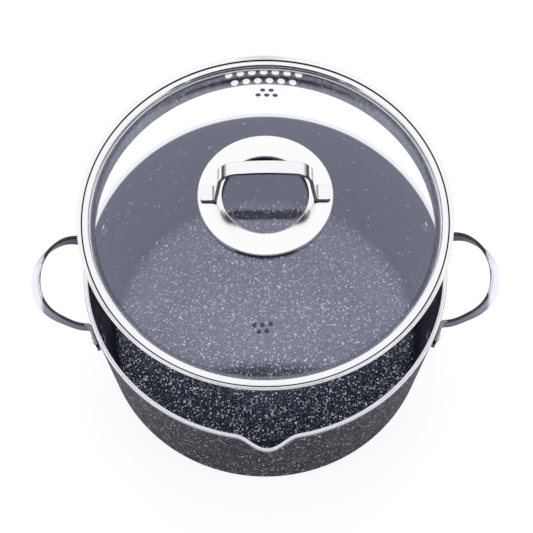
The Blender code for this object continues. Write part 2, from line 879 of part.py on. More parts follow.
def make_lid_handle():
    """The strap handle: two feet on the rosette, legs, and a slightly crowned grip."""
    foot_plane = rosette_top() + GAP + LID_HANDLE_THICKNESS / 2
    path = lid_handle_path()
    lengths = path_lengths(path)
    whole = lengths[-1]
    stations = []
    for (x, z), length, heading in zip(path, lengths, path_directions(path)):
        from_tip = min(length, whole - length)
        past_foot = from_tip - LID_HANDLE_FOOT_LENGTH
        blend = smooth_step(past_foot / LID_HANDLE_SHOULDER_HEIGHT)
        width = LID_HANDLE_FOOT_WIDTH + (LID_HANDLE_TOP_WIDTH - LID_HANDLE_FOOT_WIDTH) * blend
        half = rounded_tip(from_tip, width / 2, LID_FOOT_CORNER)
        through = Vector((heading.y, 0, -heading.x))
        center = Vector((x, 0, foot_plane + z))
        stations.append((center, Vector((0, 1, 0)), through, 2 * half, LID_HANDLE_THICKNESS))
    handle = strap("lid_handle", stations, PARTS, LID)
    for cutter in SCREW_CUTTERS:
        cut(handle, cutter)
    finish(handle, "steel")


def collar_top():
    """Nominal height of a grommet's collar, before it is fitted to the glass."""
    return glass_under(screw_offset())


def collar_under():
    """Flat underside of a grommet's collar."""
    return glass_under(screw_offset() + GROMMET_COLLAR) - GAP - GROMMET_COLLAR_THICKNESS


def make_grommet(side):
    """A grommet: a sleeve in the glass hole and a collar that follows the glass."""
    bore = screw_hole_radius()
    sleeve = bore + GROMMET_WALL
    sleeve_top = glass_top(screw_offset() + sleeve)
    profile = [
        (sleeve, sleeve_top),
        (sleeve, collar_top()),
        (GROMMET_COLLAR, collar_top()),
        (GROMMET_COLLAR, collar_under()),
        (bore, collar_under()),
        (bore, sleeve_top),
    ]
    name = "grommet_" + side_name(side)
    grommet = turned(name, profile, SMALL_STEPS, PARTS, LID)
    for vert in grommet.data.vertices:
        if abs(vert.co.z - collar_top()) < 0.000001:
            r = math.hypot(vert.co.x + side * screw_offset(), vert.co.y)
            vert.co.z = glass_under(r) - GAP
    grommet.location.x = side * screw_offset()
    finish(grommet, "silicone")


def washer_top():
    """Height of the top of a washer."""
    return collar_under() - GAP


def make_washer(side):
    """A flat steel washer under a grommet."""
    under = washer_top() - WASHER_THICKNESS
    profile = [
        (WASHER_RADIUS, washer_top()),
        (WASHER_RADIUS, under),
        (screw_hole_radius(), under),
        (screw_hole_radius(), washer_top()),
    ]
    washer = turned("washer_" + side_name(side), profile, SMALL_STEPS, PARTS, LID)
    washer.location.x = side * screw_offset()
    finish(washer, "satin_steel")


def screw_tip():
    """Height that a screw reaches inside the handle's foot."""
    return rosette_top() + GAP + SCREW_BITE


def make_lid_screw(side):
    """A pan-head screw from below, up into the handle's foot."""
    head_top = washer_top() - WASHER_THICKNESS - GAP
    head = dome(SCREW_HEAD, SCREW_HEAD_HEIGHT, 0.0, 3)
    profile = [(0.0, screw_tip()), (SCREW_SHANK, screw_tip()), (SCREW_SHANK, head_top)]
    profile += [(r, head_top - z) for r, z in reversed(head)]
    screw = turned("lid_screw_" + side_name(side), profile, SMALL_STEPS, PARTS, LID)
    screw.location.x = side * screw_offset()
    finish(screw, "satin_steel")


def rivet_cutter(side, end):
    """The hole that a rivet needs through the wall and the handle's foot."""
    name = "rivet_hole_" + side_name(side) + "_" + end_name(end)
    reach = 3 * WALL
    radius = RIVET_SHANK + HOLE_CLEARANCE
    return rod_cutter(name, radius, rivet_place(side, end), -reach, reach, SMALL_STEPS, POT)


def end_name(end):
    """Rear is +Y and front is -Y."""
    return "rear" if end > 0 else "front"


def screw_cutter(side):
    """The hole that a screw needs through gasket and rosette, blind in the foot."""
    place = Matrix.Translation((side * screw_offset(), 0, 0))
    low = glass_top(ROSETTE_RADIUS) - GASKET_THICKNESS
    high = screw_tip() + GAP
    name = "screw_hole_" + side_name(side)
    return rod_cutter(name, screw_hole_radius(), place, low, high, SMALL_STEPS, LID)


clear_scene()
PARTS = new_collection("casserole_pot")
CUTTERS = new_collection("cutters")
POT = link("pot_frame", None, PARTS)
LID = link("lid_lift_frame", None, PARTS, POT)
LID.location.z = POT_HEIGHT + LID_LIFT

SIDES = (1, -1)
ENDS = (1, -1)
RIVET_CUTTERS = {(side, end): rivet_cutter(side, end) for side in SIDES for end in ENDS}
SCREW_CUTTERS = [screw_cutter(side) for side in SIDES]

make_pot_body()
make_induction_base()
for side in SIDES:
    make_side_handle("side_handle_" + side_name(side), side)
    for end in ENDS:
        make_rivet("rivet_" + side_name(side) + "_" + end_name(end), side, end)
make_lid_glass()
make_lid_band()
make_strainer_skirt()
make_rosette_gasket()
make_lid_rosette()
make_lid_handle()
for side in SIDES:
    make_grommet(side)
    make_washer(side)
    make_lid_screw(side)
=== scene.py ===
"""Casserole pot with a pouring spout and a lift-off straining lid, dressed for rendering.

Metres, +Z up. The origin is the centre of the pot's base and the spout faces -Y.
Heights of the lid's pieces are first given over its seat, the plane where its band
rests on the pot's rim, and the finished meshes are moved up to where the lid is held.
"""

import math

import bmesh
import bpy
from mathutils import Matrix, Vector


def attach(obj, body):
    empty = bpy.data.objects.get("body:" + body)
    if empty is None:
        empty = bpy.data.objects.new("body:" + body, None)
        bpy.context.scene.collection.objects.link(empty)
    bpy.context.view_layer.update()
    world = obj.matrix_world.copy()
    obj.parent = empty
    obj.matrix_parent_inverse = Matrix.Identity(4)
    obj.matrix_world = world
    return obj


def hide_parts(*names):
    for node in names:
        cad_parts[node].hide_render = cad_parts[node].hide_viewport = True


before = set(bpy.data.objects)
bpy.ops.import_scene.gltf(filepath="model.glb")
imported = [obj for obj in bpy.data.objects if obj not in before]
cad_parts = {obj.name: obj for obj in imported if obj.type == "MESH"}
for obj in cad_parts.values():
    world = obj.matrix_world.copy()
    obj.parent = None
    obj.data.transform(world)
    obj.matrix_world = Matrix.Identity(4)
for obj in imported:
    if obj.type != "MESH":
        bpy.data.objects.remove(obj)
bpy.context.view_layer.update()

# Fits
GAP = 0.0003
HOLE_CLEARANCE = 0.0003
BAND_NIP = 0.0001

# Numbers that hold for every piece
SHARP_ANGLE = math.radians(35)
SAME_PLACE = 0.000001
ON_LINE = 0.00001
HOLD_SHARE = 1.5
HAIR_ROUNDING = 0.0001
FINE_ROUNDING = 0.0002
SOFT_ROUNDING = 0.0003

# Pot body
RIM_RADIUS = 0.140
POT_HEIGHT = 0.125
WALL = 0.0038
WALL_TAPER = math.radians(6.7)
FLOOR = 0.0055
OUTER_CORNER = 0.020
INNER_CORNER = 0.016
RIM_ROUNDING = 0.0012
MIDDLE_LOW = 0.030
MIDDLE_HIGH = 0.080
BARE_SHARE = 0.8
INWARD_FACING = -0.02
FLOOR_FACING = 0.5
POT_STEPS = 288

# Pouring spout
SPOUT_HALF_WIDTH = 0.024
SPOUT_REACH = 0.0085
SPOUT_DIP = 0.003
SPOUT_DEPTH = 0.014
SPOUT_COLUMNS_PER_STEP = 4
SPOUT_RINGS = 18

# Steel disc in the base
DISC_MARGIN = 0.0070
DISC_THICKNESS = 0.0012
DISC_SIDE_GAP = 0.0004
DISC_CHAMFER = 0.0004
DISC_GROOVE_INSET = 0.042
DISC_GROOVE_WIDTH = 0.005
DISC_GROOVE_DEPTH = 0.0004

# Side handles
HANDLE_DROP = 0.0190
HANDLE_PROJECTION = 0.0407
HANDLE_HALF_SPAN = 0.0383
HANDLE_ROUNDNESS = 2.15
HANDLE_POINTS = 60
HANDLE_RISE = 0.0066
HANDLE_RISE_LENGTH = 0.022
STRAP_WIDTH = 0.0100
STRAP_THICKNESS = 0.0028
STRAP_LEAN = math.radians(39)
STRAP_TWIST_LENGTH = 0.064
FOOT_WIDTH = 0.0125
FOOT_TAPER_LENGTH = 0.014
FOOT_BEND = 0.0042
FOOT_BEND_POINTS = 12
FOOT_OVERHANG = 0.0096
FOOT_ARC_POINTS = 10
FOOT_TIP_ANGLES = (25, 32, 40, 48, 56, 64, 72, 81, 90)
# Upward facing of the arms' faces that get a painted dark reflection
ARM_EDGE_FACING = 0.72

# Rivets
RIVET_HALF_SPACING = 0.0494
RIVET_SHANK = 0.0024
RIVET_INNER_HEAD = 0.0054
RIVET_INNER_HEIGHT = 0.0022
RIVET_OUTER_HEAD = 0.0040
RIVET_OUTER_HEIGHT = 0.0012
RIVET_STEPS = 48

# Lid: where its seat is held, and its glass
LID_LIFT = 0.0914
SEAT_HEIGHT = POT_HEIGHT + LID_LIFT
GLASS_RADIUS = 0.136
GLASS_THICKNESS = 0.0036
LAND_WIDTH = 0.0056
LAND_HEIGHT = -0.0014
DOME_RISE = 0.0372
DOME_RINGS = 40
LID_STEPS = 256

# Lid band, rolled round the edge of the glass, with one welded joint
BAND_SHEET = 0.0008
BAND_COVER = 0.0030
BAND_SWELL = 0.0030
BAND_BULGE = 0.0012
BAND_RISE = 0.0011
BAND_CROWN = 0.0020
BAND_FALL = 0.00025
BAND_CREASE = 0.0004
CREASE_RADIUS = 0.1386
SHOULDER_ROUNDING = 0.0009
CROWN_ROUNDING = 0.0050
CREASE_ROUNDING = 0.00015
HOLLOW_ROUNDING = 0.0010
FLANGE_WIDTH = 0.0032
FLANGE_SLOPE = math.radians(33)
BAND_CRIMP = 0.0023
WELD_ANGLE = math.radians(3)
WELD_HALF_WIDTH = 0.0004
WELD_DEPTH = 0.00012

# Straining skirt and its holes
SKIRT_SHEET = 0.0008
SKIRT_FLANGE_WIDTH = 0.0039
SKIRT_DRAFT = 0.0034
SKIRT_DROP = 0.0237
SKIRT_SIDE_GAP = 0.0003
BEAD = 0.0008
BEAD_ROUNDING = 0.0005
NECK_ROUNDING = 0.0009
LARGE_HOLES = {"radius": 0.0030, "pitch": 0.0091, "drops": (0.0101, 0.0191), "counts": (7, 6)}
SMALL_HOLES = {
    "radius": 0.0016, "pitch": 0.0056, "drops": (0.0101, 0.0151, 0.0199), "counts": (7, 8, 7)}
HOLE_SEGMENTS = 32

# Groups of round marks printed on the glass: places (x, y) in millimetres, and radii
LARGE_MARKS = [(-0.97, 103.9), (5.49, 103.6), (-4.55, 98.05), (2.04, 97.7), (8.48, 97.4)]
SMALL_MARKS = [(-8.98, -96.7), (-3.14, -96.5), (2.99, -96.0), (-5.81, -101.2), (0.09, -100.7)]
LARGE_MARK_RADIUS = 0.0021
SMALL_MARK_RADIUS = 0.00175
MARK_THICKNESS = 0.00005
MARK_SEGMENTS = 28
MM_PER_METRE = 1000

# Rosette, gasket and lid handle
ROSETTE_RADIUS = 0.0503
ROSETTE_HOLE = 0.0323
ROSETTE_INNER_THICKNESS = 0.0018
ROSETTE_ROUNDING = 0.0010
GASKET_THICKNESS = 0.0009
GASKET_INSET = 0.0015
ROSETTE_STEPS = 192
LID_HANDLE_INSET = 0.0020
LID_HANDLE_FOOT_LENGTH = 0.0112
LID_HANDLE_LEG_SLOPE = 0.0050
LID_HANDLE_SHOULDER_HEIGHT = 0.0368
LID_HANDLE_CROWN = 0.0032
LID_HANDLE_THICKNESS = 0.0030
LID_HANDLE_FOOT_WIDTH = 0.0132
LID_HANDLE_TOP_WIDTH = 0.0108
LID_HANDLE_FOOT_BEND = 0.0038
LID_HANDLE_SHOULDER_BEND = 0.0145
LID_HANDLE_CROWN_BEND = 0.140
LID_FOOT_CORNER = 0.0026
LID_FOOT_TIP_ANGLES = (30, 40, 50, 60, 70, 80, 90)
LID_HANDLE_BEND_STEPS = (14, 22, 14, 22, 14)
# Faces of the lid handle toward the front, which get a painted dark reflection
EDGE_FACES = 1
# Faces under the lid handle, which get a painted shade
UNDER_FACES = 2
UNDER_FACING = -0.5
FRONT_FACING = -0.7

# Screws, washers and grommets
SCREW_OFFSET = 0.0427
SCREW_SHANK = 0.0020
SCREW_HEAD = 0.0042
SCREW_HEAD_HEIGHT = 0.0024
SCREW_BITE = 0.0021
CROSS_LENGTH = 0.0044
CROSS_WIDTH = 0.0009
CROSS_DEPTH = 0.0012
CROSS_TURN = math.radians(36)
GROMMET_WALL = 0.0013
GROMMET_COLLAR = 0.0068
GROMMET_COLLAR_THICKNESS = 0.0010
WASHER_RADIUS = 0.0058
WASHER_THICKNESS = 0.0010
SMALL_STEPS = 48

# Camera: distance from the middle of the pot's rim, angles, and where the rim shows
FRAME_PIXELS = 533
SENSOR_MM = 36.0
CAMERA_DISTANCE = 1.8
CAMERA_FOCUS_PIXELS = 2278.9
CAMERA_ELEVATION = math.radians(63.67)
CAMERA_AZIMUTH = math.radians(-0.6)
RIM_PIXEL = (265.4, 271.1)
CAMERA_CLIP = 0.01

SIDES = (1, -1)
ENDS = (1, -1)


# Tools for shapes


def add_object(name, data):
    """An object at the origin for a finished mesh, a lamp or a camera."""
    obj = bpy.data.objects.new(name, data)
    bpy.context.scene.collection.objects.link(obj)
    return obj


def smooth(mesh):
    """Shade a mesh smooth, with its steep edges kept sharp."""
    mesh.shade_smooth()
    mesh.set_sharp_from_angle(angle=SHARP_ANGLE)


def mesh_of(bm, name):
    """A smooth-shaded mesh from a bmesh."""
    mesh = bpy.data.meshes.new(name)
    bm.to_mesh(mesh)
    bm.free()
    smooth(mesh)
    return mesh


def spaced(low, high, count):
    """Evenly spaced values from one to another."""
    return [low + (high - low) * i / count for i in range(count + 1)]


def polar(radius, angle):
    """A point in a plane at a distance and an angle from the origin."""
    return radius * math.cos(angle), radius * math.sin(angle)


def arc(center, radius, start, end, count):
    """Points of an arc in a plane, from one angle to another in radians."""
    places = [polar(radius, angle) for angle in spaced(start, end, count)]
    return [(center[0] + x, center[1] + y) for x, y in places]


def corner_arc(corner, back, ahead, radius, count):
    """Points of the arc that rounds a corner between two directions, and its reach."""
    half_angle = back.angle(ahead) / 2
    reach = radius / math.tan(half_angle)
    center = corner + (back + ahead).normalized() * radius / math.sin(half_angle)
    first = corner + back * reach - center
    sweep = math.pi - 2 * half_angle
    turn = 1 if first.cross(corner + ahead * reach - center) > 0 else -1
    turns = [Matrix.Rotation(turn * sweep * i / count, 2) for i in range(count + 1)]
    return [tuple(center + matrix @ first) for matrix in turns], reach


def rounded(corners, count=4):
    """A closed outline whose corners (x, y, radius) are rounded, with a point to hold each flat."""
    outline = []
    for i, (x, y, radius) in enumerate(corners):
        if radius == 0:
            outline.append((x, y))
            continue
        corner = Vector((x, y))
        before = Vector(corners[i - 1][:2]) - corner
        after = Vector(corners[(i + 1) % len(corners)][:2]) - corner
        back = before.normalized()
        ahead = after.normalized()
        points, reach = corner_arc(corner, back, ahead, radius, count)
        hold = reach * HOLD_SHARE
        if hold < before.length / 2:
            outline.append(tuple(corner + back * hold))
        outline += points
        if hold < after.length / 2:
            outline.append(tuple(corner + ahead * hold))
    return outline


def spun(profile, steps, closed=True):
    """A bmesh of a profile (radius, height) spun round the Z axis."""
    bm = bmesh.new()
    verts = [bm.verts.new((r, 0, z)) for r, z in profile]
    pairs = list(zip(verts, verts[1:]))
    if closed:
        pairs.append((verts[-1], verts[0]))
    edges = [bm.edges.new(pair) for pair in pairs]
    bmesh.ops.spin(
        bm, geom=verts + edges, cent=(0, 0, 0), axis=(0, 0, 1), dvec=(0, 0, 0),
        angle=2 * math.pi, steps=steps, use_merge=True)
    bmesh.ops.remove_doubles(bm, verts=bm.verts, dist=SAME_PLACE)
    bmesh.ops.recalc_face_normals(bm, faces=bm.faces)
    return bm


def cut(bm, faces, point, normal):
    """Cut some faces of a bmesh along a plane."""
    parts = list(faces)
    parts += list(dict.fromkeys(edge for face in faces for edge in face.edges))
    parts += list(dict.fromkeys(vert for face in faces for vert in face.verts))
    bmesh.ops.bisect_plane(bm, geom=parts, plane_co=point, plane_no=normal)


def aligned(point, direction):
    """A matrix that puts local +Z along a direction at a point."""
    turn = direction.to_track_quat("Z", "Y").to_matrix().to_4x4()
    return Matrix.Translation(point) @ turn


def add_rod(bm, radius, matrix, low, high, segments=RIVET_STEPS):
    """A round rod along its own Z, from one height to another."""
    middle = matrix @ Matrix.Translation((0, 0, (low + high) / 2))
    bmesh.ops.create_cone(
        bm, cap_ends=True, segments=segments, radius1=radius, radius2=radius,
        depth=high - low, matrix=middle)


def drill(obj, cutters):
    """Cut a bmesh of cutters out of an object, and keep only the resulting mesh."""
    tool = add_object(obj.name + "_cutter", mesh_of(cutters, obj.name + "_cutter"))
    boolean = obj.modifiers.new("drill", "BOOLEAN")
    boolean.operation = "DIFFERENCE"
    boolean.solver = "EXACT"
    boolean.object = tool
    bpy.context.view_layer.update()
    graph = bpy.context.evaluated_depsgraph_get()
    mesh = bpy.data.meshes.new_from_object(obj.evaluated_get(graph))
    obj.modifiers.clear()
    obj.data = mesh
    bpy.data.objects.remove(tool, do_unlink=True)
    smooth(mesh)


def strap_outline(width, thickness):
    """Outline of a flat strap with rounded corners, across and through it."""
    x = width / 2
    y = thickness / 2
    corner = min(0.3 * thickness, 0.4 * x)
    return rounded([(-x, -y, corner), (-x, y, corner), (x, y, corner), (x, -y, corner)])


def strap(stations):
    """A bmesh of a bent strap through stations of (centre, across, through, width, thickness)."""
    bm = bmesh.new()
    last = None
    for center, across, through, width, thickness in stations:
        points = [center + across * a + through * b for a, b in strap_outline(width, thickness)]
        verts = [bm.verts.new(point) for point in points]
        edges = [bm.edges.new((verts[i - 1], verts[i])) for i in range(len(verts))]
        if last is None:
            bm.faces.new(verts)
        else:
            bmesh.ops.bridge_loops(bm, edges=last + edges)
        last = edges
    bm.faces.new(verts)
    bmesh.ops.recalc_face_normals(bm, faces=bm.faces)
    return bm


def rounded_tip(distance, half_width, corner):
    """Half width of a strap at a distance from its rounded end."""
    if distance >= corner:
        return half_width
    return half_width - corner + math.sqrt(corner ** 2 - (corner - distance) ** 2)


def smooth_step(value):
    """Ease from 0 to 1."""
    value = min(max(value, 0.0), 1.0)
    return value * value * (3 - 2 * value)


def path_lengths(points):
    """Distance along a path at each of its points."""
    lengths = [0.0]
    for a, b in zip(points, points[1:]):
        lengths.append(lengths[-1] + math.dist(a, b))
    return lengths


def path_directions(points):
    """Unit direction of a path at each of its points."""
    directions = []
    for i in range(len(points)):
        before = Vector(points[max(i - 1, 0)])
        after = Vector(points[min(i + 1, len(points) - 1)])
        directions.append((after - before).normalized())
    return directions


def side_name(side):
    """Right is +X and left is -X."""
    return "right" if side > 0 else "left"


def end_name(end):
    """Rear is +Y and front is -Y."""
    return "rear" if end > 0 else "front"


# Tools for materials


def new_material(name):
    """A material, its node tree and its Principled shader."""
    material = bpy.data.materials.new(name)
    material.use_nodes = True
    tree = material.node_tree
    return material, tree, tree.nodes["Principled BSDF"]


def set_inputs(tree, node, inputs):
    """Give some inputs of a node their values or their links."""
    for key, value in inputs.items():
        if isinstance(value, bpy.types.NodeSocket):
            tree.links.new(value, node.inputs[key])
        else:
            node.inputs[key].default_value = value


def add_node(tree, kind, inputs=None, **settings):
    """A node with its settings, and with values or links for its inputs."""
    node = tree.nodes.new(kind)
    for key, value in settings.items():
        setattr(node, key, value)
    set_inputs(tree, node, inputs or {})
    return node


def math_node(tree, operation, a, b=0.0, c=0.0):
    """The result of a Math node."""
    return add_node(tree, "ShaderNodeMath", {0: a, 1: b, 2: c}, operation=operation).outputs[0]


def product(tree, result, *factors):
    """The product of some values."""
    for factor in factors:
        result = math_node(tree, "MULTIPLY", result, factor)
    return result


def vector_math(tree, operation, a, b):
    """The vector that a Vector Math node makes of two vectors."""
    return add_node(tree, "ShaderNodeVectorMath", {0: a, 1: b}, operation=operation).outputs[0]


def map_range(tree, value, low, high, start, end, kind="LINEAR"):
    """A value carried from one range to another and kept inside it."""
    inputs = {"Value": value, "From Min": low, "From Max": high, "To Min": start, "To Max": end}
    return add_node(tree, "ShaderNodeMapRange", inputs, interpolation_type=kind).outputs["Result"]


def ease(tree, value, low, high, start=0.0, end=1.0):
    """A value carried from one range to another, with soft ends."""
    return map_range(tree, value, low, high, start, end, "SMOOTHSTEP")


def at_least(tree, value, least):
    """A value between 0 and 1 carried to the range from a least value to 1."""
    return math_node(tree, "MULTIPLY_ADD", value, 1.0 - least, least)


def uneven(tree, grain, low, spread):
    """A roughness that changes a little with a noise."""
    return map_range(tree, grain, NOISE_LOW, NOISE_HIGH, low, low + spread)


def mix_color(tree, factor, a, b):
    """One colour over another by a factor."""
    inputs = {0: factor, 6: a, 7: b}
    return add_node(tree, "ShaderNodeMix", inputs, data_type="RGBA").outputs[2]


def mix_shader(tree, factor, a, b):
    """One shader over another by a factor."""
    return add_node(tree, "ShaderNodeMixShader", {0: factor, 1: a, 2: b}).outputs[0]


def shade(color, factor=1.0):
    """An opaque colour, made lighter or darker by a factor."""
    return tuple(factor * value for value in color[:3]) + (1.0,)


def object_place(tree):
    """The place on the object of each point of a surface."""
    return tree.nodes.new("ShaderNodeTexCoord").outputs["Object"]


def coordinate(tree, place, axis):
    """One coordinate of a place."""
    return add_node(tree, "ShaderNodeSeparateXYZ", {0: place}).outputs[axis]


def origin_distance(tree, place, stretch):
    """Distance of a place from the origin, once its axes are stretched."""
    stretched = vector_math(tree, "MULTIPLY", place, stretch)
    length = add_node(tree, "ShaderNodeVectorMath", {0: stretched}, operation="LENGTH")
    return length.outputs["Value"]


def noise(tree, place, scale, detail, roughness=0.5):
    """The strength of a noise at a place."""
    inputs = {"Vector": place, "Scale": scale, "Detail": detail, "Roughness": roughness}
    return add_node(tree, "ShaderNodeTexNoise", inputs).outputs[0]


def new_group(name, inputs, outputs):
    """A node group: its tree, what it is given, and its output node."""
    tree = bpy.data.node_groups.new(name, "ShaderNodeTree")
    for label, default in inputs.items():
        kind = "NodeSocketVector" if default is None else "NodeSocketFloat"
        socket = tree.interface.new_socket(label, in_out="INPUT", socket_type=kind)
        if default is not None:
            socket.default_value = default
    for label in outputs:
        tree.interface.new_socket(label, in_out="OUTPUT", socket_type="NodeSocketFloat")
    return tree, tree.nodes.new("NodeGroupInput").outputs, tree.nodes.new("NodeGroupOutput")


def place_group(tree, group, **inputs):
    """The outputs of a node group in a material, with values or links for its inputs."""
    inputs = {key.title(): value for key, value in inputs.items()}
    return add_node(tree, "ShaderNodeGroup", inputs, node_tree=group).outputs


def speckle_group():
    """Round specks of stray sizes: a mask of their brightness, by cells per metre and by share."""
    tree, given, result = new_group(
        "speckle", {"Place": None, "Cells": 400.0, "Share": 0.5, "Size": 0.3, "Ragged": 0.0005},
        ["Mask"])
    wander = add_node(
        tree, "ShaderNodeTexNoise", {"Vector": given["Place"], "Scale": 1400.0, "Detail": 1.0})
    centered = vector_math(tree, "SUBTRACT", wander.outputs["Color"], (0.5, 0.5, 0.5))
    stray = add_node(
        tree, "ShaderNodeVectorMath", {0: centered, "Scale": given["Ragged"]}, operation="SCALE")
    place = vector_math(tree, "ADD", given["Place"], stray.outputs[0])
    cells = add_node(tree, "ShaderNodeTexVoronoi", {"Vector": place, "Scale": given["Cells"]})
    pick = add_node(tree, "ShaderNodeSeparateColor", {"Color": cells.outputs["Color"]}).outputs
    present = math_node(tree, "LESS_THAN", pick[0], given["Share"])
    radius = product(tree, at_least(tree, pick[1], SPECK_SMALLEST), given["Size"])
    inside = math_node(tree, "SUBTRACT", radius, cells.outputs["Distance"])
    bright = at_least(tree, pick[2], SPECK_DIMMEST)
    mask = product(tree, ease(tree, inside, 0.0, SPECK_EDGE), present, bright)
    set_inputs(tree, result, {"Mask": mask})
    return tree


def handling_group():
    """Faint smudges and hairlines that handling leaves: a roughness and a height."""
    tree, given, result = new_group(
        "handling", {"Place": None, "Polish": 0.08, "Smudge": 0.05}, ["Roughness", "Height"])
    cloud = noise(tree, given["Place"], scale=38.0, detail=4.0, roughness=0.6)
    smudge = product(tree, ease(tree, cloud, SMUDGE_START, SMUDGE_FULL), given["Smudge"])
    stretched = add_node(
        tree, "ShaderNodeMapping",
        {"Vector": given["Place"], "Rotation": (0.4, 0.3, 0.6), "Scale": (1.0, 14.0, 14.0)})
    hair = noise(tree, stretched.outputs[0], scale=260.0, detail=2.0, roughness=0.7)
    set_inputs(tree, result, {
        "Roughness": math_node(tree, "ADD", given["Polish"], smudge),
        "Height": map_range(tree, hair, HAIR_START, HAIR_FULL, 0.0, 1.0)})
    return tree


def turning_group():
    """Marks of a lathe round the Z axis: a height that changes with the radius."""
    tree, given, result = new_group("turning", {"Place": None, "Lines": 2500.0}, ["Height"])
    along = product(tree, origin_distance(tree, given["Place"], FLAT), given["Lines"])
    lines = add_node(
        tree, "ShaderNodeTexNoise", {"W": along, "Scale": 1.0, "Detail": 3.0}, noise_dimensions="1D")
    set_inputs(tree, result, {"Height": lines.outputs[0]})
    return tree


# Stretch that leaves the distance from the Z axis
FLAT = (1.0, 1.0, 0.0)

# Colours
WHITE = (1.0, 1.0, 1.0, 1.0)
STEEL_BRIGHT = (0.945, 0.945, 0.965)
STEEL_BLUISH = (0.85, 0.845, 0.91)
# Painted shade in the crease of the lid's band
CREASE_PAINTED_SHADE = (0.03, 0.03, 0.035, 1.0)
# Painted dark reflection on the front edges of the lid handle
EDGE_PAINTED_REFLECTION = (0.08, 0.08, 0.09, 1.0)
# Painted dark reflection of the pot on the side handles' arms
ARM_PAINTED_REFLECTION = (0.27, 0.255, 0.33, 1.0)
COATING_DARK = (0.0040, 0.0050, 0.0115, 1.0)
COATING_OUTSIDE = (0.0115, 0.0115, 0.0260, 1.0)
COATING_SHEEN = (0.76, 0.78, 1.0, 1.0)
SPECK_PALE = (0.88, 0.91, 1.0, 1.0)
# Painted sheen that makes the pot's floor lighter than its walls
FLOOR_PAINTED_SHEEN = (0.009, 0.011, 0.026, 1.0)
# Painted highlight on the pot's floor
CORNER_PAINTED_HIGHLIGHT = (0.15, 0.155, 0.21, 1.0)
GLASS_CLEAR = (0.97, 0.975, 0.985, 1.0)
GLASS_SHEEN = (0.70, 0.725, 1.0, 1.0)
GLASS_SHADOW = (0.97, 0.975, 0.98, 1.0)

# Ranges of the noises
NOISE_LOW = 0.3
NOISE_HIGH = 0.7
SMUDGE_START = 0.45
SMUDGE_FULL = 0.75
HAIR_START = 0.68
HAIR_FULL = 0.74

# Specks of the coating: sizes, soft edge, faint dust, and heights over which they thin out
SPECK_SMALLEST = 0.25
SPECK_DIMMEST = 0.50
SPECK_EDGE = 0.08
DUST_STRENGTH = 0.55
SPECKS_FULL = 0.0058
SPECKS_THIN = 0.014
SPECKS_LEFT = 0.05

# Painted light on the rear of the pot's floor, and a painted highlight where it turns up into the
# wall
CORNER_START = 0.080
CORNER_PEAK = 0.108
CORNER_END = 0.122
CORNER_FRONT = -0.010
CORNER_REAR = 0.035
PAINTED_LIGHT_FRONT = -0.080
PAINTED_LIGHT_REAR = -0.015
PAINTED_LIGHT_SHARE = 0.55
PAINTED_LIGHT_SIDE_LOSS = 0.4

# Places of the steel with painted shade or painted dark reflections
CREASE_HALF_WIDTH = 0.0004
CREASE_FADE = 0.0003
ARM_INNER = 0.174
ARM_OUTER = 0.179
ARM_EDGE_START = 0.1425
ARM_EDGE_END = 0.176

SPECKLE = speckle_group()
HANDLING = handling_group()
TURNING = turning_group()


def add_bump(tree, shader, height, strength, distance):
    """A Bump node from a height to the shader's normal."""
    inputs = {"Height": height, "Strength": strength, "Distance": distance}
    bump = add_node(tree, "ShaderNodeBump", inputs)
    set_inputs(tree, shader, {"Normal": bump.outputs[0]})


def painted_floor_light(tree, place, spread):
    """How much painted light the floor gets: more to the rear, and a painted highlight where it
    turns up into the wall.
    """
    radius = origin_distance(tree, place, FLAT)
    depth = coordinate(tree, place, "Y")
    aside = math_node(tree, "ABSOLUTE", coordinate(tree, place, "X"))
    rising = ease(tree, radius, CORNER_START, CORNER_PEAK)
    falling = ease(tree, radius, CORNER_PEAK, CORNER_END, 1.0, 0.0)
    rear = ease(tree, depth, CORNER_FRONT, CORNER_REAR)
    ring = product(tree, rising, falling, rear)
    share = at_least(tree, ring, PAINTED_LIGHT_SHARE)
    depth = math_node(tree, "MULTIPLY_ADD", aside, -PAINTED_LIGHT_SIDE_LOSS, depth)
    return product(tree, share, ease(tree, depth, PAINTED_LIGHT_FRONT, PAINTED_LIGHT_REAR), spread)


